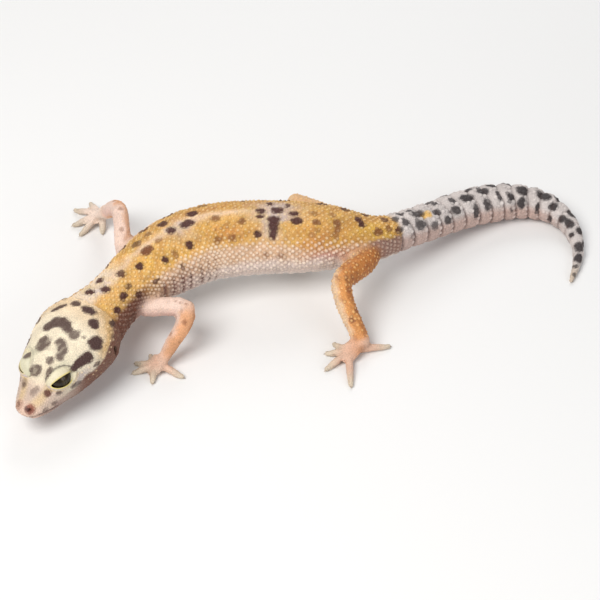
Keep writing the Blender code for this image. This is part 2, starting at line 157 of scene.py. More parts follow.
def getPoints(mesh):
    return fromRows(mesh.vertices, "co", 3).astype(float) / mm


def setPoints(mesh, points):
    mesh.vertices.foreach_set("co", (points * mm).astype(np.float32).ravel())
    mesh.update()


def getNormals(mesh):
    return fromRows(mesh.vertex_normals, "vector", 3).astype(float)


def getTriangles(mesh):
    mesh.calc_loop_triangles()
    return fromRows(mesh.loop_triangles, "vertices", 3, np.int32)


def shadeSmooth(mesh):
    for polygon in mesh.polygons:
        polygon.use_smooth = True


def meshFrom(name, points, faces):
    mesh = bpy.data.meshes.new(name)
    mesh.from_pydata((np.array(points) * mm).tolist(), [], faces)
    shadeSmooth(mesh)
    return mesh


def bandFaces(low, high, sides):
    # the quads between two closed rows of points, given the number of each row's first point
    return [(low + a, low + b, high + b, high + a) for a, b in zip(range(sides), (*range(1, sides), 0))]


def addPiece(name, mesh):
    piece = bpy.data.objects.new(name, mesh)
    bpy.context.scene.collection.objects.link(piece)
    return piece


def waves(places, size, seed=0):
    # a smooth noise from seven crossed waves, about -1 to 1, quick over many points
    own = np.random.default_rng(seed)
    total = np.zeros(len(places))
    for _ in range(7):
        direction = own.normal(size=3)
        direction /= np.linalg.norm(direction)
        length = size * own.uniform(0.6, 1.5)
        bend = own.normal(size=3) / (size * 2.3)
        phase = 2.2 * np.sin(places @ bend)
        total += np.sin(places @ direction * (2 * math.pi / length) + phase + own.uniform(0, 6))
    return total / 3.2


def treeOf(points):
    tree = KDTree(len(points))
    for number, point in enumerate(points):
        tree.insert(point, number)
    tree.balance()
    return tree


def densePath(stations, samples):
    # the smooth curve through the stations, with its length and direction at each sample
    stations = np.array(stations) + shift
    place = np.linspace(0, len(stations) - 1, samples)
    low = np.minimum(place.astype(int), len(stations) - 2)
    t = (place - low)[:, None]
    rows = np.vstack([2 * stations[0] - stations[1], stations, 2 * stations[-1] - stations[-2]])
    v0, v1, v2, v3 = rows[low], rows[low + 1], rows[low + 2], rows[low + 3]
    points = v1 + (v2 - v0) * (t / 2) + (2 * v0 - 5 * v1 + 4 * v2 - v3) * (t * t / 2)
    points += (3 * v1 - v0 - 3 * v2 + v3) * (t**3 / 2)
    length = np.concatenate([[0], np.cumsum(np.linalg.norm(np.diff(points, axis=0), axis=1))])
    tangent = np.gradient(points, axis=0)
    tangent /= np.linalg.norm(tangent, axis=1)[:, None]
    return {"place": place, "points": points, "length": length, "tangent": tangent, "tree": treeOf(points)}


spine = densePath(pose["spine"], pose["spineSamples"])
limbs = {name: densePath(stations, pose["limbSamples"]) for name, stations in pose["limbs"].items()}

turn, nod, roll = (math.radians(pose[key]) for key in ("headTurn", "headNod", "headRoll"))
headForward = np.array([-math.cos(turn) * math.cos(nod), -math.sin(turn) * math.cos(nod), -math.sin(nod)])
levelLeft = np.cross([0, 0, 1], headForward)
levelLeft /= np.linalg.norm(levelLeft)
headLeft = levelLeft * math.cos(roll) - np.cross(headForward, levelLeft) * math.sin(roll)
headUp = np.cross(headForward, headLeft)
snoutTip = np.array(pose["snoutTip"]) + shift


def headPlace(points):
    # distance behind the snout's tip, to the animal's left, and over its chin
    away = points - snoutTip
    return -(away @ headForward), away @ headLeft, away @ headUp + pose["snoutHeight"]


def headPoint(back, left, height):
    return snoutTip - headForward * back + headLeft * left + headUp * (height - pose["snoutHeight"])


def crossAxes(tangent):
    # level to the left of the way along the spine, and upright to it
    side = np.cross(tangent, [0, 0, 1])
    side /= np.linalg.norm(side, axis=-1, keepdims=True)
    return side, np.cross(side, tangent)


def bodyPlace(points):
    # length along the spine, degrees round from the top (left is +), distance from the spine,
    # and the number of the nearest sample of the spine
    near = np.array([spine["tree"].find(point)[1] for point in points])
    side, up = crossAxes(spine["tangent"][near])
    away = points - spine["points"][near]
    across = (away * side).sum(1)
    lift = (away * up).sum(1)
    return spine["length"][near], np.degrees(np.arctan2(across, lift)), np.hypot(across, lift), near


# the eyes' places, used by the skin, the lids and the eyeballs
eyes = {
    "radius": 3.3,
    "fromSnout": 11.5,
    "fromMidline": 3.6,
    "overChin": 8.2,
    "rise": 38.0,  # how far above level each eye looks
    "turn": 20.0,  # and how far forward
    "openingLength": 3.15,  # half the length of the gap between the lids
    "openingUp": 0.85,  # from the middle of the gap to the upper lid's edge
    "openingDown": 1.8,
    "lidLength": 3.85,  # the same for the outer edge of the lids
    "lidUp": 3.0,
    "lidDown": 2.5,
    "farLidDrop": 1.2,  # the right eye is a little more closed than the left
    "socketGap": 0.42,  # between the eyeball and the skin round it
    "socketDepth": 0.5,  # how far the skin falls back under the eyeball's surface
}


def eyeAxes(sign):
    rise, forward = math.radians(eyes["rise"]), math.radians(eyes["turn"])
    beside = headLeft * (sign * math.cos(forward)) + headForward * math.sin(forward)
    along = headForward * math.cos(forward) - headLeft * (sign * math.sin(forward))
    outward = beside * math.cos(rise) + headUp * math.sin(rise)
    upward = np.cross(along, outward) * sign
    middle = headPoint(eyes["fromSnout"], sign * eyes["fromMidline"], eyes["overChin"])
    return middle, along, upward, outward


def lidOutline(points, sign):
    # 1 on the outer edge of the lids and 0 in their middle, how far up and how far out along
    # the gaze each point is from the eye's middle, and the whole way from there
    middle, along, upward, outward = eyeAxes(sign)
    off = points - middle
    across, lift, out = off @ along, off @ upward, off @ outward
    tall = np.where(lift > 0, eyes["lidUp"], eyes["lidDown"])
    return np.hypot(across / eyes["lidLength"], lift / tall), lift, out, off


# the skin's shape
regionOf = {
    "head": 0, "neck": 1, "trunk": 2, "hips": 2,
    "tail_base": 3, "tail_middle": 3, "tail_end": 3, "tail_tip": 3,
    "upper_arm_left": 4, "forearm_left": 4, "hand_left": 6,
    "upper_arm_right": 4, "forearm_right": 4, "hand_right": 6,
    "thigh_left": 5, "shank_left": 5, "foot_left": 6,
    "thigh_right": 5, "shank_right": 5, "foot_right": 6,
}
fleshNodes = list(regionOf)
regionNames = ("head", "neck", "body", "tail", "arm", "leg", "foot")

skinSettings = {
    "fatten": 0.3,  # closes the cuts between the solids before they are made one
    "voxel": 0.46,
    "smoothings": 22,
    "footSmoothings": 8,
    "coatDepth": (0.2, 0.28, 0.34, 0.24, 0.2, 0.2, 0.05),  # what the scales need, for each region
    "joints": {  # station along the limb, share of the way to the next one, radius
        "armLeft": ((2, 0.7, 2.5), (3, 0.0, 2.45), (3, 0.25, 2.4), (6, 0.0, 1.7), (6, 0.4, 1.35)),
        "armRight": ((2, 0.7, 2.3), (3, 0.0, 2.3), (3, 0.25, 2.3), (4, 0.5, 2.35), (5, 0.0, 2.3),
                     (5, 0.5, 2.25), (6, 0.0, 2.2), (6, 0.3, 2.1), (6, 0.6, 1.7)),
        "legLeft": ((2, 0.7, 2.85), (3, 0.0, 2.75), (3, 0.25, 2.7), (6, 0.0, 2.2), (6, 0.4, 1.6)),
        "legRight": ((2, 0.7, 2.75), (3, 0.0, 2.65), (3, 0.25, 2.6), (6, 0.0, 2.0), (6, 0.4, 1.5)),
    },
    "roots": (  # where the left thigh, the right arm and the right thigh meet the body
        (12.2, 11.2, 11.8, 2.25), (-45.3, 15.8, 14.2, 2.2), (-43.9, 15.6, 14.0, 2.0), (18.1, 24.5, 11.0, 2.0),
    ),
    "toeTips": ((3.0, 0.78), (2.3, 0.76), (1.65, 0.73), (1.1, 0.68)),  # back from the claw's end, radius
}


def addBall(place, radius, subdivisions):
    deselectAll()
    bpy.ops.mesh.primitive_ico_sphere_add(subdivisions=subdivisions, radius=radius * mm, location=place * mm)
    bpy.ops.object.transform_apply(location=True, rotation=True, scale=True)
    return bpy.context.active_object


def makeFlesh():
    solids = fleshNodes + ["eye_left", "eye_right"]
    copies = [addPiece("flesh", frame["nodes"][name].data.copy()) for name in solids]
    # rounded toe tips that reach the claws
    for middle, tips in pose["toes"].values():
        for tip in tips:
            away = np.array(tip) - np.array(middle)
            away = away / np.linalg.norm(away)
            for back, radius in skinSettings["toeTips"]:
                place = np.array([*(np.array(tip) - away * back), radius * 0.98]) + shift
                copies.append(addBall(place, radius, 2))
    # the joints are filled, so that no crack stays between the bones' flesh
    balls = [(np.array(place), radius) for *place, radius in skinSettings["roots"]]
    for name, fillings in skinSettings["joints"].items():
        stations = np.array(pose["limbs"][name])
        for number, share, radius in fillings:
            balls.append((stations[number] + (stations[number + 1] - stations[number]) * share, radius))
    copies += [addBall(place + shift, radius, 3) for place, radius in balls]
    # all of it is made one closed skin
    flesh = copies[0]
    makeActive(flesh)
    for copy in copies:
        copy.select_set(True)
    bpy.ops.object.join()
    bpy.ops.object.mode_set(mode="EDIT")
    bpy.ops.mesh.select_all(action="SELECT")
    bpy.ops.mesh.remove_doubles(threshold=1e-6)
    bpy.ops.object.mode_set(mode="OBJECT")
    mesh = flesh.data
    setPoints(mesh, getPoints(mesh) + getNormals(mesh) * skinSettings["fatten"])
    mesh.remesh_voxel_size = skinSettings["voxel"] * mm
    mesh.remesh_voxel_adaptivity = 0.0
    bpy.ops.object.voxel_remesh()
    mesh = flesh.data
    mesh.materials.clear()
    while mesh.uv_layers:
        mesh.uv_layers.remove(mesh.uv_layers[0])
    flesh.name = mesh.name = "skin"
    return flesh


def neighbourMean(values, edges):
    # the mean of each point's neighbours
    count = len(values)
    ends = np.concatenate([edges[:, 0], edges[:, 1]])
    others = np.concatenate([edges[:, 1], edges[:, 0]])
    degree = np.maximum(np.bincount(ends, minlength=count), 1)
    return np.stack([np.bincount(ends, column[others], count) / degree for column in values.T], axis=1)


def smoothShape(points, edges, rounds):
    # pushes in and pulls back by turns, so that the shape softens without shrinking
    for number in range(rounds):
        points = points + (neighbourMean(points, edges) - points) * (-0.53 if number % 2 else 0.5)
    return points


def regionWeights(points, edges):
    # which part of the body each point lies on, softened across the borders
    corners, faces, owner = [], [], []
    start = 0
    for name in fleshNodes:
        mesh = frame["nodes"][name].data
        corners.append(getPoints(mesh))
        faces.append(getTriangles(mesh) + start)
        owner += [regionOf[name]] * len(faces[-1])
        start += len(corners[-1])
    tree = BVHTree.FromPolygons(np.vstack(corners).tolist(), np.vstack(faces).tolist())
    found = np.array([owner[tree.find_nearest(point)[2]] for point in points])
    weights = np.eye(len(regionNames))[found]
    for _ in range(9):
        weights = weights * 0.4 + neighbourMean(weights, edges) * 0.6
    return weights


mouth = {
    "height": 3.1,  # over the chin
    "cornerBack": 20.5,
    "cornerRise": 1.1,
    "depth": 0.34,
    "width": 0.2,
}
nostril = {"back": 1.5, "left": 1.75, "height": 5.25, "radius": 0.4, "depth": 0.85}
ear = {"back": 26.2, "height": 7.4, "halfLength": 0.85, "halfHeight": 1.7, "depth": 1.5}
relief = {  # how far the skin rises or sinks at each of the other features
    "upperLip": 0.13,
    "lowerLip": 0.08,
    "nostrilRim": 0.16,
    "earRim": 0.12,
    "lidCrease": 0.2,
    "farLidCrease": 0.1,
    "brow": 0.3,
    "dipBetweenEyes": 0.25,
    "dipBehindEyes": 0.18,
    "neckFolds": 0.2,
    "armFolds": 0.13,
    "flankFold": 0.3,
    "flankRipples": 0.1,
    "ribCreases": 0.5,
    "ringSwell": 0.24,
    "ringPinch": 0.16,
    "broadNoise": 0.05,
    "fineNoise": 0.02,
}


def mouthHeight(back):
    wave = 0.25 * np.sin(back * 0.42 + 0.4)
    return mouth["height"] + wave + mouth["cornerRise"] * smoothStep(13.0, mouth["cornerBack"], back)


def mouthShare(back):
    # 1 along the mouth, 0 behind its corners
    return fadeOut(mouth["cornerBack"] - 1.0, mouth["cornerBack"] + 0.6, back)


def nostrilPoint(sign):
    return headPoint(nostril["back"], sign * nostril["left"], nostril["height"])


def earRing(back, height):
    # 1 on the edge of the ear opening, 0 in its middle
    return np.hypot((back - ear["back"]) / ear["halfLength"], (height - ear["height"]) / ear["halfHeight"])


def refineHead(skin):
    # smaller faces where the mouth, nostrils, ears and lids will be shaped
    mesh = skin.data
    points = getPoints(mesh)
    corners = fromRows(mesh.loops, "vertex_index", 1, np.int32)[:, 0]
    first = fromRows(mesh.polygons, "loop_start", 1, np.int32)[:, 0]
    middles = (points[corners[first]] + points[corners[first + 2]]) / 2
    back, left, height = headPlace(middles)
    near = (np.abs(height - mouthHeight(back)) < 0.9) & (back > -1) & (back < 21.5)
    near |= (back < 4.0) & (height > 2) & (height < 7.5)
    near |= (np.abs(back - ear["back"]) < 1.8) & (np.abs(height - ear["height"]) < 2.6) & (np.abs(left) > 7)
    for sign in (1, -1):
        ring, _, out, off = lidOutline(middles, sign)
        near |= (out > 0.5) & (ring < 1.25) & (np.linalg.norm(off, axis=1) < 5.4)
    near &= back < 32
    mesh.vertices.foreach_set("select", np.zeros(len(mesh.vertices), bool))
    mesh.edges.foreach_set("select", np.zeros(len(mesh.edges), bool))
    mesh.polygons.foreach_set("select", near)
    makeActive(skin)
    bpy.context.tool_settings.mesh_select_mode = (False, False, True)
    bpy.ops.object.mode_set(mode="EDIT")
    bpy.ops.mesh.subdivide(number_cuts=1)
    bpy.ops.object.mode_set(mode="OBJECT")


tailRings = {
    "ends": (  # along the spine
        107.4, 111.8, 116.8, 121.8, 126.0, 130.9, 136.1, 140.9, 145.8, 150.0,
        154.3, 158.3, 162.4, 166.4, 170.2, 173.8, 177.2, 180.4, 183.4, 186.2,
    ),
    "slant": 0.014,  # how far the grooves lean back, for each degree down the side
    "depth": 0.4,
    "width": 0.4,
    "blockCount": 19,  # the shallow rings already on the solids, evened out first
    "blockFrom": 11.4,
    "blockTo": 21.0,
    "blockDepth": 0.05,
}
ribCreases = {"places": (36.6, 39.4, 42.5, 45.5, 49.7, 52.6, 56.0), "slant": 0.01, "width": 0.45}


def ringGap(length, side):
    # distance to the nearest groove between the tail's rings
    slanted = length - tailRings["slant"] * (side - 60)
    return np.abs(slanted[:, None] - np.array(tailRings["ends"])[None, :]).min(axis=1)


def inCrease(crease, length, side):
    # 1 in the middle of one of the upright creases behind the arms
    return bump(length + ribCreases["slant"] * (side - 90), crease, ribCreases["width"])


def shapeFace(points, head, neck):
    back, left, height = headPlace(points)
    away, front = height - mouthHeight(back), mouthShare(back)
    move = relief["upperLip"] * bump(away, 0.75, 0.45) * front
    move += relief["lowerLip"] * bump(away, -0.7, 0.4) * front
    move -= mouth["depth"] * bump(away, 0, mouth["width"]) * front
    for sign in (1, -1):
        gap = distance(points, nostrilPoint(sign))
        move += relief["nostrilRim"] * bump(gap, 0.85, 0.3)
        move -= nostril["depth"] * bump(gap, 0, nostril["radius"])
        ring, lift, out, _ = lidOutline(points, sign)
        crease = relief["lidCrease"] if sign > 0 else relief["farLidCrease"]
        move -= crease * bump(ring, 1.03, 0.07) * (out > 0.8)
        move += relief["brow"] * bump(ring, 1.17, 0.11) * (out > 0.3) * smoothStep(-0.3, 0.6, lift)
    move -= relief["dipBetweenEyes"] * bump(back, 8.5, 3.0) * bump(left, 0, 2.0) * (height > 6)
    move -= relief["dipBehindEyes"] * bump(back, 19.0, 3.5) * bump(left, 0, 2.4) * (height > 9)
    ring, here = earRing(back, height), (np.abs(left) > 5) * smoothStep(0.1, 0.4, head + neck)
    opening = relief["earRim"] * bump(ring, 1.35, 0.3) - ear["depth"] * fadeOut(0.55, 1.05, ring)
    return move * smoothStep(0.2, 0.6, head) + opening * here


def shapeTrunk(points, neck, body, length, around):
    side = np.abs(around)
    # folds of loose skin round the neck, in front of the shoulders and behind the arms
    folded = smoothStep(35, 80, side)
    folds = np.sin(length * 2.6 + 0.5 * np.sin(around / 16) + 0.6 * waves(points, 9, 3))
    move = relief["neckFolds"] * folds * folded * bump(length, 24, 7) * (neck + body)
    folds = np.sin(length * 3.4 + waves(points, 6, 4))
    move += relief["armFolds"] * folds * folded * bump(length, 40, 5) * body
    # a soft fold along each flank, between the arm and the leg
    between = smoothStep(46, 56, length) * fadeOut(84, 94, length)
    move += relief["flankFold"] * (bump(side, 96, 7) - bump(side, 112, 7)) * between * body
    ripples = np.sin(length * 1.9 + waves(points, 8, 5) * 1.4)
    move += relief["flankRipples"] * ripples * smoothStep(60, 100, side) * body
    # upright creases behind the arms, where the ribs draw the skin in
    reach = smoothStep(66, 82, side) * fadeOut(112, 124, side) * body
    for crease in ribCreases["places"]:
        move -= relief["ribCreases"] * inCrease(crease, length, side) * reach
    return move


def shapeTail(tail, length, around, radius, near):
    # the grooves between the rings, the swell of each ring, and the pinch halfway down its side
    side = np.abs(around)
    first, last = tailRings["blockFrom"], tailRings["blockTo"]
    turns = tailRings["blockCount"] * (spine["place"][near] - first) / (last - first)
    gap = ringGap(length, side)
    groove = tailRings["depth"] * bump(gap, 0, tailRings["width"]) + relief["ringSwell"] * bump(gap, 0, 1.0)
    pinch = relief["ringPinch"] * bump(side, 62 + 5 * np.sin(length * 0.9), 4.5) * fadeOut(150, 172, length)
    evened = tailRings["blockDepth"] * radius * np.abs(np.cos(math.pi * turns)) ** 3
    slim = np.clip(radius / 4.5, 0.12, 1.0)
    return (evened - (groove + pinch) * slim) * smoothStep(0.3, 0.9, tail)


def shapeSkin(points, weights, places):
    # moves along the normal that give the face, neck, flanks and tail their relief
    head, neck, body, tail, _, _, foot = weights.T
    length, around, radius, near = places
    move = shapeFace(points, head, neck) + shapeTrunk(points, neck, body, length, around)
    move += shapeTail(tail, length, around, radius, near)
    rough = relief["broadNoise"] * waves(points, 7, 8) + relief["fineNoise"] * waves(points, 2.2, 9)
    return move + rough * (1 - foot)


def clearSocket(points, edges, sign):
    # round the eye the skin is softened and kept off the eyeball, and under the lids it falls back behind it
    ring, _, out, off = lidOutline(points, sign)
    gap = np.linalg.norm(off, axis=1)
    rim = smoothStep(0.8, 0.9, ring) * fadeOut(1.25, 1.5, ring) * (out > -0.5) * (gap < 6.5)
    outside, inside = eyes["radius"] + eyes["socketGap"], eyes["radius"] - eyes["socketDepth"]
    for number in range(11):
        if number < 10:  # the last time, the skin is only kept off the eyeball
            points = points + (neighbourMean(points, edges) - points) * (rim * 0.5)[:, None]
        ring, _, out, off = lidOutline(points, sign)
        gap = np.linalg.norm(off, axis=1)
        low = (ring > 0.86) & (out > -1.6) & (gap < outside)
        points[low] += off[low] * (outside / gap[low] - 1)[:, None]
    share = fadeOut(0.84, 0.93, ring) * (out > 0) * (gap < 5.5)
    return points - off * (share * np.clip(1 - inside / np.maximum(gap, 0.1), 0, 1))[:, None]


def makeSkin():
    skin = makeFlesh()
    refineHead(skin)
    mesh = skin.data
    edges = fromRows(mesh.edges, "vertices", 2, np.int32)
    rough = smoothShape(getPoints(mesh), edges, skinSettings["footSmoothings"])
    weights = regionWeights(rough, edges)
    fine = smoothShape(rough, edges, skinSettings["smoothings"] - skinSettings["footSmoothings"])
    share = smoothStep(0.2, 0.9, weights[:, 6])[:, None]
    points = rough * share + fine * (1 - share)
    setPoints(mesh, points)
    depth = skinSettings["fatten"] + weights @ np.array(skinSettings["coatDepth"])
    points = points - getNormals(mesh) * depth[:, None]
    places = bodyPlace(points)
    setPoints(mesh, points)
    points = points + getNormals(mesh) * shapeSkin(points, weights, places)[:, None]
    for sign in (1, -1):
        points = clearSocket(points, edges, sign)
    points[:, 2] = np.maximum(points[:, 2], 0.02)  # soles and tail lie flat on the floor
    setPoints(mesh, points)
    shadeSmooth(mesh)
    return skin, {"points": points, "weights": weights, "places": places, "normals": getNormals(mesh)}


skin, skinData = makeSkin()
print("skin", len(skin.data.polygons), "faces")


# markings: colours as they look on a screen, 0 to 255
tones = {
    "headTop": (240, 226, 200), "crownRear": (240, 214, 180), "brow": (214, 208, 180),
    "snout": (240, 214, 182), "snoutSide": (208, 184, 170), "snoutTip": (228, 194, 174),
    "streak": (232, 200, 142), "lid": (230, 220, 190), "lidRim": (226, 208, 130), "cheek": (204, 188, 184),
    "goldCheek": (214, 170, 106), "jaw": (116, 72, 54), "jawFront": (168, 140, 130),
    "throat": (216, 188, 176), "nape": (238, 218, 196), "neck": (224, 176, 106), "neckSide": (118, 70, 50),
    "back": (230, 178, 98), "backFar": (208, 158, 90), "goldDark": (188, 132, 62),
    "goldLight": (238, 198, 120), "yellow": (236, 194, 84), "stripe": (238, 204, 170),
    "lavender": (206, 190, 188), "orange": (198, 128, 64), "rear": (206, 154, 84), "rosy": (206, 152, 142),
    "flank": (220, 182, 150), "flankLow": (222, 202, 192), "belly": (240, 228, 218),
    "tailTop": (212, 202, 198), "tailBase": (222, 178, 84), "tailBaseShadow": (146, 108, 98),
    "tailYellow": (240, 190, 96), "tailLowShaded": (194, 162, 150), "tailGrooveShade": (86, 56, 50),
    "tailTip": (214, 196, 176), "legFar": (230, 192, 146), "leg": (224, 154, 86),
    "legFront": (238, 210, 178), "legRear": (176, 104, 50), "thigh": (190, 120, 56), "arm": (242, 212, 196),
    "armShade": (228, 186, 174), "forearm": (228, 160, 104), "foot": (230, 190, 166),
    "toeTip": (214, 202, 180), "heel": (216, 146, 96), "headSpot": (76, 49, 44), "bodySpot": (76, 33, 28),
    "brownSpot": (120, 66, 34), "tailSpot": (50, 41, 42), "limbSpot": (146, 88, 54),
    # crease is painted shade, laid in the skin's pleats, armpits and upright creases
    "crease": (132, 84, 74), "wart": (250, 226, 176), "flankWart": (250, 232, 212), "rust": (96, 52, 38),
    "headWart": (254, 226, 180), "limbWart": (250, 206, 136), "tailWart": (250, 240, 234),
    "farHand": (244, 220, 204), "mouthLineShade": (96, 62, 54), "nostrilRing": (146, 78, 58),
    "nostrilEdge": (84, 54, 56), "nostrilPitShade": (40, 24, 24), "earHoleShade": (60, 38, 32),
    "lidShadow": (70, 54, 46), "lidFoldShade": (88, 70, 56), "lidBackShade": (70, 54, 36),
}
faceMarks = {  # their strengths on the left side of the face and on the right
    "lidShadow": (0.85, 0.3), "streak": (0.5, 0.5), "brow": (0.95, 0.5),
    "nostrilRing": (0.9, 0.4), "nostrilEdge": (0.8, 0.0),
}

# marks on the head: behind the snout, to the left, over the chin, length, width, strength
headSpots = (
    (21.3, 2.4, 14.3, 3.4, 3.0, 0.85), (16.0, -3.4, 12.8, 5.0, 3.8, 0.9), (12.6, 0.7, 12.1, 2.3, 2.4, 0.9),
    (9.4, -1.5, 10.3, 3.8, 3.0, 0.85), (8.0, -2.4, 9.6, 2.4, 1.8, 0.75), (11.3, -6.0, 11.6, 3.8, 2.4, 0.9),
    (10.2, 2.1, 11.2, 3.2, 2.1, 0.86), (22.5, 7.9, 12.6, 4.4, 3.9, 1.0), (26.5, 4.8, 14.4, 3.0, 3.4, 1.0),
    (29.1, 1.7, 14.9, 2.4, 4.6, 1.0), (29.5, -2.5, 14.8, 2.3, 2.8, 0.95), (21.9, 4.9, 13.9, 1.1, 1.1, 0.7),
    (19.3, 10.0, 8.8, 2.6, 1.4, 0.9), (8.4, 5.7, 6.9, 1.9, 1.6, 0.8), (12.2, 8.2, 7.2, 4.0, 1.7, 0.85),
    (5.5, 0.4, 7.7, 3.0, 2.3, 0.55), (5.8, -3.2, 7.1, 2.0, 1.4, 0.6), (2.0, -2.2, 5.5, 1.3, 1.2, 0.5),
    (6.5, 5.3, 4.6, 2.2, 1.2, 0.7), (4.0, 4.4, 4.1, 1.9, 1.3, 0.75), (30.4, 7.8, 12.2, 3.0, 2.0, 0.95),
    (27.4, 9.4, 10.9, 1.8, 1.4, 0.7), (16.5, -9.2, 9.2, 4.6, 2.2, 0.95), (22.5, -9.8, 10.6, 3.0, 2.4, 0.9),
    (20.0, -10.6, 7.4, 3.0, 1.6, 0.7), (12.5, -8.2, 5.4, 3.0, 1.3, 0.5), (7.5, -5.6, 6.4, 2.0, 1.4, 0.5),
    (26.5, -9.2, 10.0, 2.6, 2.4, 0.8),
)

# curved ones: strength, then behind, left, over and width at each point along them
headStrokes = (
    (0.95, ((20.4, -5.2, 13.3, 2.8), (22.2, -4.1, 14.2, 3.2), (23.1, -2.4, 14.4, 3.1),
            (22.6, -0.8, 14.4, 3.0), (21.9, 0.2, 14.3, 2.6))),
    (0.88, ((17.9, 0.3, 13.5, 2.6), (17.2, 1.4, 13.4, 3.0), (15.9, 2.3, 13.1, 2.6), (14.5, 2.4, 12.7, 2.4))),
    (1.0, ((13.6, 6.6, 10.6, 1.6), (15.6, 7.0, 11.2, 2.3), (18.4, 8.0, 11.3, 3.2))),
    (0.95, ((25.4, -7.0, 13.4, 1.2), (26.8, -5.9, 14.0, 1.5), (27.9, -4.7, 14.3, 1.3))),
    (0.75, ((13.4, 0.9, 12.3, 1.2), (12.2, 0.6, 12.0, 1.6))),
)

# spots on the body: along the spine, degrees round to the left, length, width, strength
bodySpots = (
    (14.4, -24, 3.0, 3.0, 0.95), (19.2, -19, 2.6, 3.0, 1.0), (24.4, -26, 2.7, 2.6, 1.0),
    (22.4, 4, 2.8, 2.6, 1.0), (19.4, 51, 3.0, 1.9, 1.0), (24.0, 41, 2.9, 2.0, 1.0),
    (27.3, 35, 2.6, 1.4, 0.8), (28.4, 61, 2.8, 2.0, 0.9), (29.1, 5, 2.8, 2.7, 0.92),
    (33.9, 21, 2.4, 2.6, 1.0), (38.4, -24, 3.0, 2.6, 0.75), (42.6, -26, 2.2, 2.2, 0.55),
    (47.1, -29, 2.8, 3.0, 0.95), (47.2, -2, 2.6, 2.9, 1.0), (51.9, -1, 4.2, 3.0, 1.0),
    (54.6, -22, 3.0, 2.8, 1.0), (40.0, 40, 2.3, 2.3, 1.0), (48.9, 40, 2.6, 2.7, 1.0),
    (43.6, 63, 1.6, 2.0, 0.75), (34.9, 62, 2.4, 1.4, 0.85), (71.5, -4, 2.7, 2.4, 1.0),
    (71.4, 10, 2.5, 1.6, 1.0), (76.0, -6, 3.6, 3.0, 1.0), (80.3, 3, 3.2, 1.9, 1.0),
    (80.9, 20, 3.4, 2.6, 1.0), (74.9, 17, 3.4, 2.6, 1.0), (74.9, 25, 3.1, 2.8, 1.0),
    (74.8, 33, 2.7, 2.8, 1.0), (74.7, 41, 2.3, 2.8, 1.0), (74.6, 48, 1.9, 2.4, 1.0),
    (70.4, 43, 2.3, 2.3, 1.0), (74.0, -26, 2.0, 2.4, 0.95), (78.6, -20, 1.6, 2.6, 0.85),
    (96.9, 1, 2.4, 2.4, 1.0), (97.5, 14, 1.9, 2.2, 1.0), (107.0, 40, 2.4, 2.2, 0.95),
    (107.6, 2, 2.2, 2.4, 0.9),
    # the right side, in the same loose rows
    (30.5, -52, 2.6, 2.4, 0.9), (36.8, -58, 2.4, 2.8, 0.9), (43.6, -50, 3.0, 2.6, 0.9),
    (50.2, -56, 2.6, 3.0, 0.9), (57.6, -42, 2.2, 2.0, 0.6), (60.8, -64, 1.8, 1.8, 0.5),
    (67.2, -48, 2.0, 2.2, 0.6), (72.0, -60, 3.0, 3.2, 0.95), (77.6, -48, 3.4, 2.6, 1.0),
    (82.4, -66, 2.2, 2.0, 0.7), (87.6, -38, 2.8, 2.4, 0.9), (93.2, -30, 2.4, 2.6, 0.9),
    (99.4, -28, 2.6, 2.2, 0.9), (104.6, -6, 2.4, 2.6, 0.8), (104.0, -44, 2.0, 2.2, 0.8),
    (26.0, -60, 2.4, 2.0, 0.9),
)
# the paler, brown ones
brownSpots = (
    (38.6, 6, 4.0, 2.7, 0.95), (42.6, 3, 2.4, 2.0, 0.6), (43.5, 41, 2.2, 2.0, 0.55),
    (59.5, 6, 2.6, 2.4, 0.75), (66.5, 18, 2.0, 2.4, 0.75), (58.6, 46, 2.6, 2.0, 0.6),
    (63.2, 46, 2.6, 2.0, 0.6), (86.0, 21, 2.4, 1.9, 0.8), (85.4, 1, 2.4, 2.2, 0.55),
    (90.0, 0, 2.0, 2.2, 0.5), (91.2, 20, 2.3, 2.8, 0.8), (91.4, 31, 2.0, 2.8, 0.7),
    (91.0, 43, 2.0, 2.6, 0.5), (86.2, 36, 1.6, 1.8, 0.45), (84.8, 45, 2.2, 1.7, 0.4),
    (101.5, 32, 2.2, 2.4, 0.85), (104.4, 27, 2.0, 2.4, 0.7), (72.6, 75, 1.3, 1.9, 0.55),
    (76.7, 78, 1.9, 1.6, 0.5), (33.0, 47, 2.0, 1.2, 0.3),
)
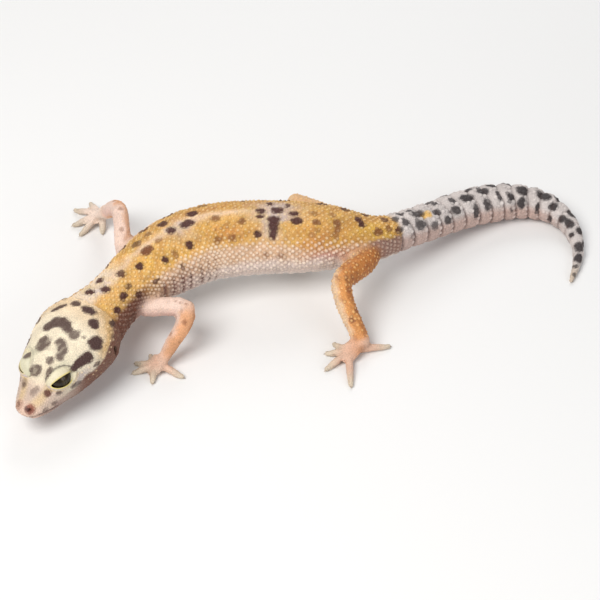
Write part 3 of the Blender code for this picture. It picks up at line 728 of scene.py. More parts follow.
tailSpots = (
    (110.9, -17, 2.4, 1.8, 0.9), (113.9, -18, 2.2, 1.6, 0.9), (107.8, 2, 2.8, 2.2, 0.8),
    (115.2, 7, 4.4, 2.6, 0.95), (110.1, 23, 2.8, 2.6, 0.9), (114.1, 46, 3.6, 2.6, 0.9),
    (111.3, 74, 2.6, 1.8, 0.4), (123.2, -12, 2.4, 1.8, 0.95), (121.2, 25, 2.8, 2.4, 0.95),
    (119.1, 64, 3.2, 2.2, 0.8), (122.6, -36, 2.6, 2.2, 0.9), (128.8, 2, 2.8, 2.8, 0.95),
    (124.0, 60, 2.8, 2.4, 0.95), (127.8, 40, 3.6, 2.4, 0.95), (133.6, 10, 4.8, 2.8, 1.0),
    (136.4, -31, 3.0, 2.4, 0.95), (139.9, -2, 3.8, 3.2, 1.0), (134.6, 63, 2.2, 4.2, 0.95),
    (138.9, 51, 2.8, 3.2, 0.95), (143.7, -27, 2.6, 2.2, 1.0), (144.2, 26, 1.9, 3.2, 0.95),
    (148.2, 35, 3.0, 2.9, 1.0), (148.5, 78, 1.6, 1.6, 0.8), (152.2, 3, 4.0, 3.6, 1.0),
    (151.9, 54, 3.0, 3.2, 1.0), (157.5, 62, 1.6, 3.2, 1.0), (158.2, -2, 4.4, 3.2, 1.0),
    (162.2, 22, 2.8, 2.8, 1.0), (163.3, 92, 2.0, 2.6, 1.0), (167.0, 38, 2.8, 2.4, 1.0),
    (169.6, 18, 3.4, 2.8, 1.0), (173.3, 42, 1.9, 1.9, 1.0), (178.0, 0, 3.8, 3.0, 1.0),
    (181.9, -8, 3.4, 2.6, 1.0), (185.0, 14, 1.6, 1.6, 0.9), (187.8, -40, 1.4, 1.4, 0.8),
    # the right side
    (117.8, -60, 3.0, 2.4, 0.9), (129.4, -52, 3.2, 2.6, 0.95), (133.0, -84, 2.4, 2.8, 0.9),
    (141.0, -66, 3.0, 3.2, 0.95), (149.0, -48, 3.4, 3.0, 1.0), (147.6, -92, 2.4, 2.6, 0.9),
    (155.4, -58, 3.2, 3.0, 1.0), (161.4, -50, 2.6, 3.0, 1.0), (166.8, -36, 2.8, 2.6, 1.0),
    (172.4, -40, 2.4, 2.4, 1.0), (111.6, -58, 2.4, 2.0, 0.9), (176.2, -70, 2.0, 1.8, 1.0),
)


# where the pale top of the head meets its dark side: behind the snout, over the chin
darkLine = (
    (6.0, 3.4), (8.0, 4.4), (11.0, 6.0), (14.0, 7.2), (17.5, 7.3), (20.3, 8.2), (23.0, 9.4), (25.4, 10.2),
    (27.4, 10.9), (29.4, 11.6), (32.0, 11.8),
)
# the pale streak along each side of the snout: behind, to the side and over, at its two ends
snoutLine = np.array(((1.5, 1.8, 5.4), (8.0, 4.0, 8.9)))

# small brown marks on the limbs: place, radius, strength
limbSpots = (
    (-29.6, -12.4, 11.9, 0.85, 0.75), (-33.4, -13.5, 8.9, 0.65, 0.6), (-30.8, -7.9, 14.9, 0.5, 0.55),
    (-29.3, -8.3, 14.6, 0.4, 0.6), (-28.3, -9.9, 13.8, 0.4, 0.6), (-30.8, -15.1, 7.3, 0.6, 0.5),
    (-31.9, -7.5, 14.9, 0.45, 0.5), (-30.4, -10.0, 13.7, 0.7, 0.35), (13.5, -8.2, 8.7, 1.0, 0.85),
    (14.8, -5.3, 9.5, 0.95, 0.8), (13.0, -1.5, 13.1, 0.9, 0.7), (12.3, 1.2, 15.2, 0.9, 0.6),
    (13.4, -11.6, 5.6, 0.7, 0.6), (-48.2, 24.0, 19.2, 0.8, 0.6), (-50.6, 30.0, 16.6, 0.7, 0.6),
    (-47.6, 17.0, 17.8, 0.8, 0.5),
)


def plain(tone, count):
    return np.tile(linear(tones[tone]), (count, 1))


def paintOver(colour, *coats):
    # lays coats over a colour, each one a tone and how much of it every point takes
    for tone, share in coats:
        colour = blendTo(colour, tones[tone], share)
    return colour


def overDarkLine(back, height):
    return height - np.interp(back, *zip(*darkLine))


def nearestLimb(points, busy):
    # the limb that each busy point is on, and the nearest sample of that limb's path
    best = np.full(len(points), 1e9)
    which, sample = np.zeros(len(points), int), np.zeros(len(points), int)
    for index, path in enumerate(limbs.values()):
        for number in np.nonzero(busy)[0]:
            _, found, gap = path["tree"].find(points[number])
            if gap < best[number]:
                best[number], which[number], sample[number] = gap, index, found
    return which, sample


def spotShare(points, weights, places, wobble):
    # how dark the spots make each point: 1 inside a spot, 0 outside, with an uneven edge
    place = np.stack(headPlace(points), axis=1)
    back, left, height = place.T
    length, around, radius, _ = places

    def inside(reach):
        return fadeOut(0.78, 1.16, reach + wobble)

    def onBody(spots):
        share = np.zeros(len(points))
        for spotLength, spotRound, long, wide, strength in spots:
            turned = (around - spotRound + 180) % 360 - 180
            along = (length - spotLength) / (long / 2)
            across = np.radians(turned) * radius / (wide / 2)
            if spotLength > 108:
                across = across * 0.88  # the tail's spots are a little wider
            share = np.maximum(share, inside(np.hypot(along, across)) * strength)
        return share

    onFace = np.zeros(len(points))
    for spotBack, spotLeft, spotHeight, long, wide, strength in headSpots:
        along = (back - spotBack) / (long / 2)
        across = np.hypot(left - spotLeft, height - spotHeight) / (wide / 2)
        onFace = np.maximum(onFace, inside(np.hypot(along, across)) * strength)
    for strength, stations in headStrokes:
        for first, second in zip(stations[:-1], stations[1:]):
            gap, t = gapToLine(place, np.array(first[:3]), np.array(second[:3]))
            width = first[3] + (second[3] - first[3]) * t
            onFace = np.maximum(onFace, inside(gap / (width / 2)) * strength)
    head = smoothStep(0.35, 0.65, weights[:, 0])
    trunk = smoothStep(0.35, 0.65, weights[:, 1:4].sum(1))
    return onFace * head, onBody(bodySpots + tailSpots) * trunk, onBody(brownSpots) * trunk


def paintHead(points, back, left, height, over, fine):
    dark = fadeOut(-0.3, 0.5, over)
    snoutSide = fadeOut(6.6, 8.4, height + 0.3 * fine - 0.1 * back) * fadeOut(8, 12, back)
    snoutGap, _ = gapToLine(np.stack([back, np.abs(left), height], axis=1), *snoutLine)
    top = paintOver(
        plain("headTop", len(points)),
        ("crownRear", smoothStep(22, 29, back) * 0.9),
        ("brow", bump(back, 12, 3.5) * smoothStep(1.5, 4.5, np.abs(left)) * 0.8),
        ("snout", fadeOut(5, 9, back) * 0.9),
        ("cheek", bump(back, 14.5, 3.2) * bump(over, 1.2, 1.3) * 0.9),
        ("snoutSide", snoutSide * 0.8),
        ("goldCheek", bump(over, 1.0, 1.7) * smoothStep(19, 24, back) * np.where(left > 0, 0.85, 0.3)),
        ("jawFront", dark * 0.8),
        ("jaw", dark * smoothStep(9, 16, back) * 0.95),
        ("streak", fadeOut(0.3, 1.9, snoutGap + 0.3 * fine) * 0.6),
        ("snoutTip", fadeOut(1.5, 4.0, back) * 0.8),
        ("throat", fadeOut(0.0, 1.2, height)),
    )
    for number, sign in enumerate((1, -1)):
        strength = {mark: pair[number] for mark, pair in faceMarks.items()}
        ring, lift, out, _ = lidOutline(points, sign)
        shadow = bump(ring, 1.02, 0.05) * (out > 0.5) * smoothStep(-0.3, 0.6, lift)
        browGap = distance(points, headPoint(6.7, sign * 3.6, 7.4))
        top = paintOver(
            top,
            ("lid", fadeOut(0.94, 1.0, ring) * (out > 0)),
            ("lidShadow", shadow * strength["lidShadow"]),
            ("streak", bump(ring, 1.06, 0.08) * (out > 0.5) * (lift < -0.5) * strength["streak"]),
            ("rust" if sign > 0 else "headSpot", fadeOut(0.75, 1.3, browGap) * strength["brow"]),
        )
    return top


def paintTrunk(length, around, radius, fine):
    side, turned = np.abs(around), around + 3 * fine
    unrolled = np.stack([length, np.radians(around) * radius * 0.45, 0 * length], axis=1)
    streaks, patches = waves(unrolled, 1.5, 51), waves(unrolled, 3.4, 52)
    nape = smoothStep(-58, -44, turned) * fadeOut(-4, 16, turned) * fadeOut(26, 34, length)
    stripe = bump(turned, -6, 8.5) * smoothStep(22, 28, length) * fadeOut(68, 74, length)
    lavender = bump(length + fine, 50, 3.6) * bump(turned, 2, 20)
    lavender += bump(length + fine, 75.5, 5.6) * smoothStep(-42, -22, turned) * fadeOut(16, 26, turned)
    lavender += bump(length, 74.0, 2.5) * smoothStep(10, 20, turned) * fadeOut(46, 60, turned)
    lavender += bump(length, 22.5, 3.2) * bump(turned, -4, 12)
    orange = bump(length, 62, 5.5) * bump(turned, 38, 13)
    orange += 0.95 * bump(length, 87, 5.5) * bump(turned, 54, 22)
    orange += 0.5 * bump(length, 60, 9) * bump(turned, -26, 10)
    gold = bump(length, 99, 5) * bump(turned, 24, 20) + bump(length, 95, 4) * bump(turned, 48, 14)
    flank = smoothStep(50, 66, side + 4 * fine - 18 * bump(length, 87, 6)) * smoothStep(30, 38, length)
    flankLow = smoothStep(78, 96, side + 4 * fine) * smoothStep(34, 44, length) * fadeOut(96, 100, length)
    # painted shade: dark streaks down the flank, standing for the shade in its pleats of skin
    pleatShade = smoothStep(0.35, 0.95, streaks) * smoothStep(58, 70, side) * fadeOut(104, 116, side)
    pleatShade = pleatShade * (1 - 0.6 * smoothStep(52, 64, length)) * smoothStep(34, 40, length)
    trunk = paintOver(
        plain("back", len(length)),
        ("rear", smoothStep(80, 96, length) * 0.9),
        ("backFar", fadeOut(-24, -14, turned) * smoothStep(34, 40, length) * 0.8),
        ("goldDark", smoothStep(0.0, 0.8, streaks) * 0.45 + smoothStep(0.1, 0.8, patches) * 0.38),
        ("goldLight", smoothStep(0.2, 0.9, -streaks) * 0.4),
        ("neck", fadeOut(24, 36, length) * 0.8),
        ("nape", nape * 0.95),
        ("stripe", stripe * 0.95),
        ("lavender", np.clip(lavender, 0, 1) * 0.85),
        ("orange", np.clip(orange, 0, 1) * 0.68),
        ("goldDark", gold * 0.5),
        ("yellow", bump(patches, 0.9, 0.5) * 0.3 + bump(length, 101, 6) * bump(turned, 30, 22) * 0.35),
        ("brownSpot", bump(length, 61.5, 5) * bump(turned, 36, 16) * smoothStep(0.2, 0.8, streaks) * 0.6),
        ("flank", flank * (0.95 - 0.2 * smoothStep(78, 95, length))),
        ("rosy", bump(length, 89, 5.5) * bump(side, 84, 15) * 0.9),
        ("flankLow", flankLow),
        ("crease", pleatShade * 0.4),
        ("neckSide", smoothStep(50, 66, side + 3 * fine) * fadeOut(28, 36, length)),
        # painted shade in the armpits, just behind the arms
        ("crease", smoothStep(62, 78, side) * bump(length, 41, 7) * 0.45),
        # painted shadow of the thighs on the sides of the tail's base
        ("tailBaseShadow", smoothStep(48, 58, side + 2 * fine) * smoothStep(98, 101, length) * 0.9),
        ("throat", smoothStep(112, 130, side) * fadeOut(30, 40, length)),
        ("belly", smoothStep(110, 135, side) * smoothStep(30, 40, length)),
    )
    # painted shade in the upright creases behind the arms, where the skin is sunk
    reach = smoothStep(70, 84, side) * fadeOut(112, 122, side)
    for crease in ribCreases["places"]:
        trunk = paintOver(trunk, ("crease", inCrease(crease, length, side) * reach * 0.9))
    return trunk


def paintTail(length, around, fine, tiny):
    yellow = fadeOut(0.7, 1.2, np.hypot((length - 117.4) / 1.9, (around - 21) / 14) + 0.2 * tiny)
    return paintOver(
        plain("tailTop", len(length)),
        ("tailBase", fadeOut(106.9, 107.9, length + 0.4 * fine)),
        ("tailYellow", yellow * 0.9),
        # the tail's lower sides: a pinker tone, darkened with painted shade
        ("tailLowShaded", smoothStep(52, 84, np.abs(around)) * fadeOut(156, 176, length) * 0.85),
        ("tailTip", smoothStep(182, 189, length)),
    )


def paintLimbs(points, weights, normals):
    which, sample = nearestLimb(points, weights[:, 4:].sum(1) > 0.02)
    down = np.array([path["place"] for path in limbs.values()])[which, sample]  # 0 in the body, 7 at the sole
    facing = normals[:, 0] + 0.25 * waves(points, 4.0, 24)
    low = smoothStep(5.0, 6.6, down)
    arms = paintOver(
        plain("arm", len(points)),
        ("armShade", fadeOut(-0.2, 0.6, normals[:, 2]) * 0.6),
        ("forearm", smoothStep(-0.75, 0.1, facing) * smoothStep(2.6, 3.6, down) * 0.85),
        ("legRear", smoothStep(0.6, 0.95, facing) * smoothStep(2.8, 3.6, down) * 0.5),
        ("forearm", (which == 1) * smoothStep(0.0, 0.8, facing) * 0.6),
        ("foot", low * 0.5),
    )
    legs = paintOver(
        plain("leg", len(points)),
        ("thigh", fadeOut(2.2, 3.4, down) * 0.85),
        ("legFront", fadeOut(-0.75, -0.15, facing) * 0.85),
        ("legRear", smoothStep(0.35, 0.95, facing) * 0.7),
        ("legFar", (which == 3) * 0.75),
        ("belly", smoothStep(0.3, 0.9, -normals[:, 2]) * 0.5),
        ("heel", low * 0.8),
    )
    wobble = 0.2 * waves(points, 1.4, 34)
    for *place, radius, strength in limbSpots:
        reach = distance(points, np.array(place) + shift) / radius
        spot = ("limbSpot", fadeOut(0.7, 1.2, reach + wobble) * strength)
        arms, legs = paintOver(arms, spot), paintOver(legs, spot)
    faint = smoothStep(0.3, 0.9, waves(points, 1.7, 30)) * np.where(down < 3.2, 0.55, 0.3) * (which == 2)
    legs = paintOver(legs, ("limbSpot", faint))
    feet = plain("foot", len(points))
    for name, (middle, tips) in pose["toes"].items():
        palm = np.array([*middle, 2.0]) + shift
        if name.startswith("foot"):
            feet = paintOver(feet, ("heel", bump(distance(points, palm + (2.7, -0.3, 0.5)), 0, 2.0) * 0.9))
        if name == "hand_right":
            feet = paintOver(feet, ("farHand", fadeOut(5, 9, distance(points, palm))))
        for tip in tips:
            gap = distance(points, np.array([*tip, 0.5]) + shift)
            feet = paintOver(feet, ("toeTip", fadeOut(0.8, 6.4, gap) * 0.85))
    return arms, legs, feet


def paintSkin(points, weights, places, normals):
    head, neck, tail = weights[:, 0], weights[:, 1], weights[:, 3]
    onHead, onTail = smoothStep(0.3, 0.7, head), smoothStep(0.3, 0.7, tail)
    back, left, height = headPlace(points)
    length, around, radius, _ = places
    side = np.abs(around)
    broad, fine, tiny = waves(points, 11, 20), waves(points, 4.0, 21), waves(points, 1.7, 22)
    over = overDarkLine(back, height) + 0.35 * fine
    top = paintHead(points, back, left, height, over, fine)
    trunk = paintTrunk(length, around, radius, fine)
    end = paintTail(length, around, fine, tiny)
    parts = (top, trunk, trunk, end, *paintLimbs(points, weights, normals))
    colour = sum(part * weights[:, number][:, None] for number, part in enumerate(parts))
    colour = colour * (1 + 0.05 * broad + 0.05 * fine + 0.03 * tiny)[:, None]

    freckles = bump(over, 0.8, 1.5) * head * smoothStep(16, 24, back) + neck * bump(side, 75, 30)
    freckles = freckles * smoothStep(0.55, 1.0, waves(points, 2.4, 31))
    wobble = 0.11 * waves(points, 2.6, 40) + 0.07 * waves(points, 1.1, 41)
    headShare, bodyShare, brownShare = spotShare(points, weights, places, wobble)
    worn = smoothStep(0.1, 0.8, waves(points, 1.5, 43)) * fadeOut(0.86, 0.98, headShare)
    # painted shade in the grooves between the tail's rings, darkest down its sides
    grooveShade = bump(ringGap(length, side), 0, 0.36) * (0.3 + 0.65 * smoothStep(20, 70, side))
    grooveShade = grooveShade * (1 - 0.6 * smoothStep(150, 185, length)) * smoothStep(105.5, 107, length)
    colour = paintOver(
        colour,
        ("headSpot", freckles * 0.4),
        ("headSpot", headShare * (1 - 0.3 * worn)),
        ("brownSpot", brownShare),
        ("bodySpot", bodyShare * (1 - onTail) * 0.97),
        ("tailSpot", bodyShare * onTail * 0.97),
        ("tailGrooveShade", grooveShade * onTail * 0.85),
        # painted shade in the ear openings
        ("earHoleShade", fadeOut(0.5, 1.0, earRing(back, height)) * (np.abs(left) > 5) * (head + neck) * 0.85),
    )
    for number, sign in enumerate((1, -1)):
        strength = {mark: pair[number] for mark, pair in faceMarks.items()}
        gap = distance(points, nostrilPoint(sign))
        edgeGap = distance(points, nostrilPoint(sign) - headLeft * sign * 0.9)
        colour = paintOver(
            colour,
            ("nostrilRing", fadeOut(1.0, 1.9, gap + 0.3 * fine) * onHead * strength["nostrilRing"]),
            ("nostrilEdge", fadeOut(0.4, 1.0, edgeGap) * onHead * strength["nostrilEdge"]),
            # painted shade in the nostrils' pits
            ("nostrilPitShade", bump(gap, 0, 0.5) * onHead * 0.95),
        )
    # painted shade along the mouth's groove
    mouthLineShade = bump(height - mouthHeight(back), 0, 0.22) * mouthShare(back) * onHead
    colour = paintOver(colour, ("mouthLineShade", mouthLineShade * 0.75))
    return np.clip(colour, 0.002, 0.95), np.maximum(np.maximum(headShare, bodyShare), brownShare)


def writeColour(mesh, colour):
    layer = mesh.color_attributes.new(name="paint", type="FLOAT_COLOR", domain="POINT")
    rgba = np.ones((len(colour), 4), np.float32)
    rgba[:, :3] = colour
    layer.data.foreach_set("color", rgba.ravel())


skinData["paint"], skinData["dark"] = paintSkin(**skinData)
writeColour(skin.data, skinData["paint"])
print("markings painted")


# materials
def newMaterial(name):
    material = bpy.data.materials.new(name)
    material.use_nodes = True
    return material, material.node_tree, material.node_tree.nodes["Principled BSDF"]


def addNode(tree, kind, inputs={}, **settings):
    # a new node, with each input given a value or linked to another node's output
    node = tree.nodes.new("ShaderNode" + kind)
    for name, value in settings.items():
        setattr(node, name, value)
    for name, value in inputs.items():
        if isinstance(value, bpy.types.NodeSocket):
            tree.links.new(value, node.inputs[name])
        else:
            node.inputs[name].default_value = value
    return node


def calculate(tree, operation, *values, clamp=False):
    return addNode(tree, "Math", dict(enumerate(values)), operation=operation, use_clamp=clamp).outputs[0]


def addRamp(tree, share, low, high):
    # turns a share from 0 to 1 into a colour, given the places and colours of the ramp's two ends
    ramp = addNode(tree, "ValToRGB", {"Fac": share})
    for element, (position, colour) in zip(ramp.color_ramp.elements, (low, high)):
        element.position, element.color = position, (*colour, 1)
    return ramp.outputs["Color"]


def addBumps(tree, shader, height, strength, depth):
    bumps = addNode(tree, "Bump", {"Height": height, "Strength": strength, "Distance": depth * mm})
    tree.links.new(bumps.outputs["Normal"], shader.inputs["Normal"])


hideLooks = {  # grain: the size of the tiny scales
    "skinHide": {"grain": 0.42, "relief": 0.55, "roughness": 0.55, "gloss": 0.42, "gapShade": 0.82},
    "scaleHide": {"grain": 0.3, "relief": 0.2, "roughness": 0.46, "gloss": 0.5, "gapShade": 0.94},
}
hideNoise = {"Scale": 900, "Detail": 4}


def makeHide(name, look):
    # painted skin with a grain of tiny scales: painted shade darkens the gaps between them, a little painted
    # light brightens their middles, and their middles are raised
    material, tree, shader = newMaterial(name)
    paint = addNode(tree, "Attribute", attribute_name="paint").outputs["Color"]
    place = addNode(tree, "TexCoord").outputs["Object"]
    cloud = addNode(tree, "TexNoise", {"Vector": place, **hideNoise}).outputs["Fac"]
    cells = {"Vector": place, "Scale": 1 / (look["grain"] * mm), "Randomness": 0.75}
    cells = addNode(tree, "TexVoronoi", cells).outputs["Distance"]

    def spread(value, low, high, **limits):
        limits.update({"Value": value, "To Min": low, "To Max": high})
        return addNode(tree, "MapRange", limits).outputs["Result"]

    gaps = spread(cells, 1.06, look["gapShade"], **{"From Min": 0.15, "From Max": 0.75})
    shade = calculate(tree, "MULTIPLY", gaps, spread(cloud, 0.86, 1.12))
    tint = addNode(tree, "VectorMath", {0: paint, "Scale": shade}, operation="SCALE").outputs["Vector"]
    tree.links.new(tint, shader.inputs["Base Color"])
    rough = spread(cloud, look["roughness"] - 0.07, look["roughness"] + 0.09)
    tree.links.new(rough, shader.inputs["Roughness"])
    addBumps(tree, shader, calculate(tree, "MULTIPLY", cells, -1.0), look["relief"], 0.12)
    shader.inputs["Specular IOR Level"].default_value = look["gloss"]
    return material


skinHide, scaleHide = (makeHide(name, look) for name, look in hideLooks.items())
skin.data.materials.append(skinHide)
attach(skin, "root")
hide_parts(*fleshNodes)


# scales and warts: one joined mesh for each kind, each scale a small dome at its root
skinFaces = getTriangles(skin.data)
surface = BVHTree.FromPolygons(skinData["points"].tolist(), skinFaces.tolist())


def flowAt(points, weights, normals, near):
    # the way the scales lie: back over the head, along the body, and down the limbs
    head, limb = weights[:, :1], weights[:, 4:].sum(1)
    which, sample = nearestLimb(points, limb > 0.3)
    limbFlow = np.array([path["tangent"] for path in limbs.values()])[which, sample]
    share = smoothStep(0.4, 0.6, limb)[:, None]
    flow = head * -headForward + (1 - head) * spine["tangent"][near]
    flow = flow * (1 - share) + limbFlow * share
    flow -= normals * (flow * normals).sum(1)[:, None]
    return flow / np.maximum(np.linalg.norm(flow, axis=1), 1e-6)[:, None]


def onFaces(values, faceNumbers, shares):
    # values that belong to the skin's points, read at places inside its faces
    return (values[skinFaces[faceNumbers]] * (shares if values.ndim == 1 else shares[:, :, None])).sum(1)


def rootsFrom(faceNumbers, shares):
    # everything that a scale needs to know, read off the skin at its root
    keys = ("points", "normals", "weights", "paint", "dark")
    roots = {key: onFaces(skinData[key], faceNumbers, shares) for key in keys}
    roots["normals"] /= np.linalg.norm(roots["normals"], axis=1)[:, None]
    roots["places"] = bodyPlace(roots["points"])
    roots["flow"] = flowAt(roots["points"], roots["weights"], roots["normals"], roots["places"][3])
    return roots


def pick(roots, keep):
    return {
        key: tuple(row[keep] for row in values) if isinstance(values, tuple) else values[keep]
        for key, values in roots.items()
    }


def thinOut(points, spacing):
    # keeps points in order, each at least its own spacing from those kept before
    steps = [(x, y, z) for x in (-1, 0, 1) for y in (-1, 0, 1) for z in (-1, 0, 1)]
    cells = np.floor(points / float(spacing.max())).astype(int).tolist()
    grid, kept = {}, []
    for number, ((x, y, z), (i, j, k), gap) in enumerate(zip(points.tolist(), cells, (spacing**2).tolist())):
        near = (other for di, dj, dk in steps for other in grid.get((i + di, j + dj, k + dk), ()))
        if all((x - ox) ** 2 + (y - oy) ** 2 + (z - oz) ** 2 >= gap for ox, oy, oz in near):
            grid.setdefault((i, j, k), []).append((x, y, z))
            kept.append(number)
    return np.array(kept)


def scatter(tries, spacingOf):
    # random places spread evenly over the skin, thinned to the spacing that spacingOf gives
    a, b, c = (skinData["points"][skinFaces[:, number]] for number in range(3))
    area = np.linalg.norm(np.cross(b - a, c - a), axis=1)
    chosen = random.choice(len(area), size=tries, p=area / area.sum())
    first, second = random.random(tries), random.random(tries)
    flip = first + second > 1
    first[flip], second[flip] = 1 - first[flip], 1 - second[flip]
    shares = np.stack([1 - first - second, first, second], axis=1)
    points = onFaces(skinData["points"], chosen, shares)
    length = onFaces(skinData["places"][0], chosen, shares)
    around = skinData["places"][1][skinFaces[chosen, 0]]  # not blended, since it jumps from 180 to -180 below
    spacing = spacingOf(points, onFaces(skinData["weights"], chosen, shares), length, around)
    usable = np.nonzero(spacing > 0)[0]
    kept = usable[thinOut(points[usable], spacing[usable])]
    return rootsFrom(chosen[kept], shares[kept]), spacing[kept]


def turnShare(across, lift):
    # how far round, from 0 to 1
    return (np.degrees(np.arctan2(across, lift)) + 180) / 360


def bakePlan(roots):
    # each scale's place on a flattened plan of the skin: the body, the head and each limb laid out apart
    points, normals, part = roots["points"], roots["normals"], roots["weights"].argmax(1)
    length, around, _, _ = roots["places"]
    back, left, height = headPlace(points)
    onHead, onLimb = part == 0, part >= 4
    u, v = 0.02 + (around + 180) / 360 * 0.40, 0.02 + length / 192 * 0.95
    u = np.where(onHead, 0.46 + turnShare(left, height - 6.5) * 0.24, u)
    v = np.where(onHead, 0.02 + np.clip(back, -1, 34) / 34 * 0.46, v)
    right, rear = points[:, 1] > shift[1] + 19, points[:, 0] > -10
    beside = (normals * np.cross(roots["flow"], [0.1, 0.2, 1.0])).sum(1)
    reach = np.clip((20 - points[:, 2]) / 20, 0, 1)
    u = np.where(onLimb, 0.73 + right * 0.13 + turnShare(beside, normals[:, 2]) * 0.12, u)
    v = np.where(onLimb, 0.02 + rear * 0.48 + reach * 0.42 + (part == 6) * 0.03, v)
    return np.stack([u, v], axis=1)


def domeShape(sides, rings, lean):
    # one scale at unit size: rings of (radius, height) closed by a top, leaning back along X
    points, faces = [], []
    for radius, height in rings:
        for number in range(sides):
            angle = 2 * math.pi * (number + 0.5) / sides
            points.append((math.cos(angle) * radius + lean * height, math.sin(angle) * radius, height))
    points.append((lean * 1.05, 0.0, 1.0))
    last = (len(rings) - 1) * sides
    for low in range(0, last, sides):
        for a, b, c, d in bandFaces(low, low + sides, sides):
            faces += [(a, b, c), (a, c, d)]
    faces += [(last + number, last + (number + 1) % sides, len(points) - 1) for number in range(sides)]
    return np.array(points), np.array(faces)


wartShape = domeShape(8, ((1.0, -0.25), (0.86, 0.3), (0.5, 0.78)), 0.28)
grainShape = domeShape(6, ((1.0, -0.35), (0.66, 0.62)), 0.15)
plateShape = domeShape(6, ((1.0, -0.4), (0.82, 0.75)), 0.1)


def growScales(name, roots, shape, sizes, heights, lighten, tint=None, jitter=0.06):
    # one joined mesh: the unit scale set at each root, sized, turned to the lie of the coat and painted
    unit, faces = shape
    count = len(sizes)
    across = np.cross(roots["normals"], roots["flow"])
    flow = roots["flow"] + across * random.normal(0, 0.06, (count, 1))
    length = sizes * random.uniform(0.94, 1.08, count)
    width = sizes * random.uniform(0.92, 1.06, count)
    points = roots["points"][:, None, :]
    for column, (way, reach) in enumerate(((flow, length), (across, width), (roots["normals"], heights))):
        points = points + unit[None, :, column : column + 1] * (way * reach[:, None])[:, None, :]
    points = points.reshape(-1, 3)
    points[:, 2] = np.maximum(points[:, 2], 0.0)
    corners = (faces[None] + (np.arange(count) * len(unit))[:, None, None]).ravel()
    mesh = bpy.data.meshes.new(name)
    mesh.vertices.add(len(points))
    mesh.vertices.foreach_set("co", (points * mm).astype(np.float32).ravel())
    mesh.loops.add(len(corners))
    mesh.loops.foreach_set("vertex_index", corners.astype(np.int32))
    mesh.polygons.add(len(corners) // 3)
    mesh.polygons.foreach_set("loop_start", np.arange(0, len(corners), 3, dtype=np.int32))
    mesh.polygons.foreach_set("use_smooth", np.ones(len(corners) // 3, bool))
    mesh.update(calc_edges=True)
    # each scale is palest on its top, and takes the skin's own colour at its foot, darkened there with
    # painted shade
    rise = np.clip(unit[:, 2], 0, 1)
    base = roots["paint"] * random.uniform(1 - jitter, 1 + jitter, (count, 1))
    tint = base * 1.08 if tint is None else tint
    share = lighten[:, None] * rise[None, :] * (1 - roots["dark"][:, None])
    colour = base[:, None, :] * (1 - 0.14 * (1 - rise))[None, :, None]
    colour = colour + (tint[:, None, :] - colour) * share[:, :, None]
    writeColour(mesh, np.clip(colour.reshape(-1, 3), 0.002, 0.96))
    plan = bakePlan(roots)[:, None, :] + unit[None, :, :2] * 0.0015
    layer = mesh.uv_layers.new(name="OFBake")
    layer.data.foreach_set("uv", plan.reshape(-1, 2)[corners].astype(np.float32).ravel())
    mesh.materials.append(scaleHide)
    piece = addPiece(name, mesh)
    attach(piece, "root")
    print(name, count, "scales,", len(corners) // 3, "triangles")


def spineRing(lengthAt, degrees):
    # a point of the spine, and the way out from it at so many degrees round from the top
    index = int(np.searchsorted(spine["length"], lengthAt))
    side, up = crossAxes(spine["tangent"][index])
    angle = math.radians(degrees)
    return spine["points"][index], side * math.sin(angle) + up * math.cos(angle)


def castRoots(rings, away):
    # roots where rays from outside, straight at the spine, meet the skin
    faceNumbers, shares = [], []
    for middle, direction in rings:
        hit, _, face, _ = surface.ray_cast(Vector(middle + direction * away), Vector(-direction))
        if face is None:
            continue
        a, b, c = skinData["points"][skinFaces[face]]
        edge1, edge2, inside = b - a, c - a, np.array(hit) - a
        d11, d12, d22 = edge1 @ edge1, edge1 @ edge2, edge2 @ edge2
        e1, e2 = inside @ edge1, inside @ edge2
        scale = d11 * d22 - d12 * d12
        second, third = (d22 * e1 - d12 * e2) / scale, (d11 * e2 - d12 * e1) / scale
        faceNumbers.append(face)
        shares.append((1 - second - third, second, third))
    return rootsFrom(np.array(faceNumbers), np.array(shares))


bodyWarts = {
    "rowGap": 0.98,
    "aroundGap": 1.95,  # between warts of one row on the back
    "flankGap": 1.55,
    "radius": 0.46,
    "flankRadius": 0.6,
    "height": 0.36,
    "from": 17.0,  # along the spine
    "to": 107.0,
    "reach": 114,  # degrees down each flank
    "girth": 9.8,  # the body's radius, with what the hips and the neck lack of it
    "hipsLess": 2.6,
    "neckLess": 1.6,
}


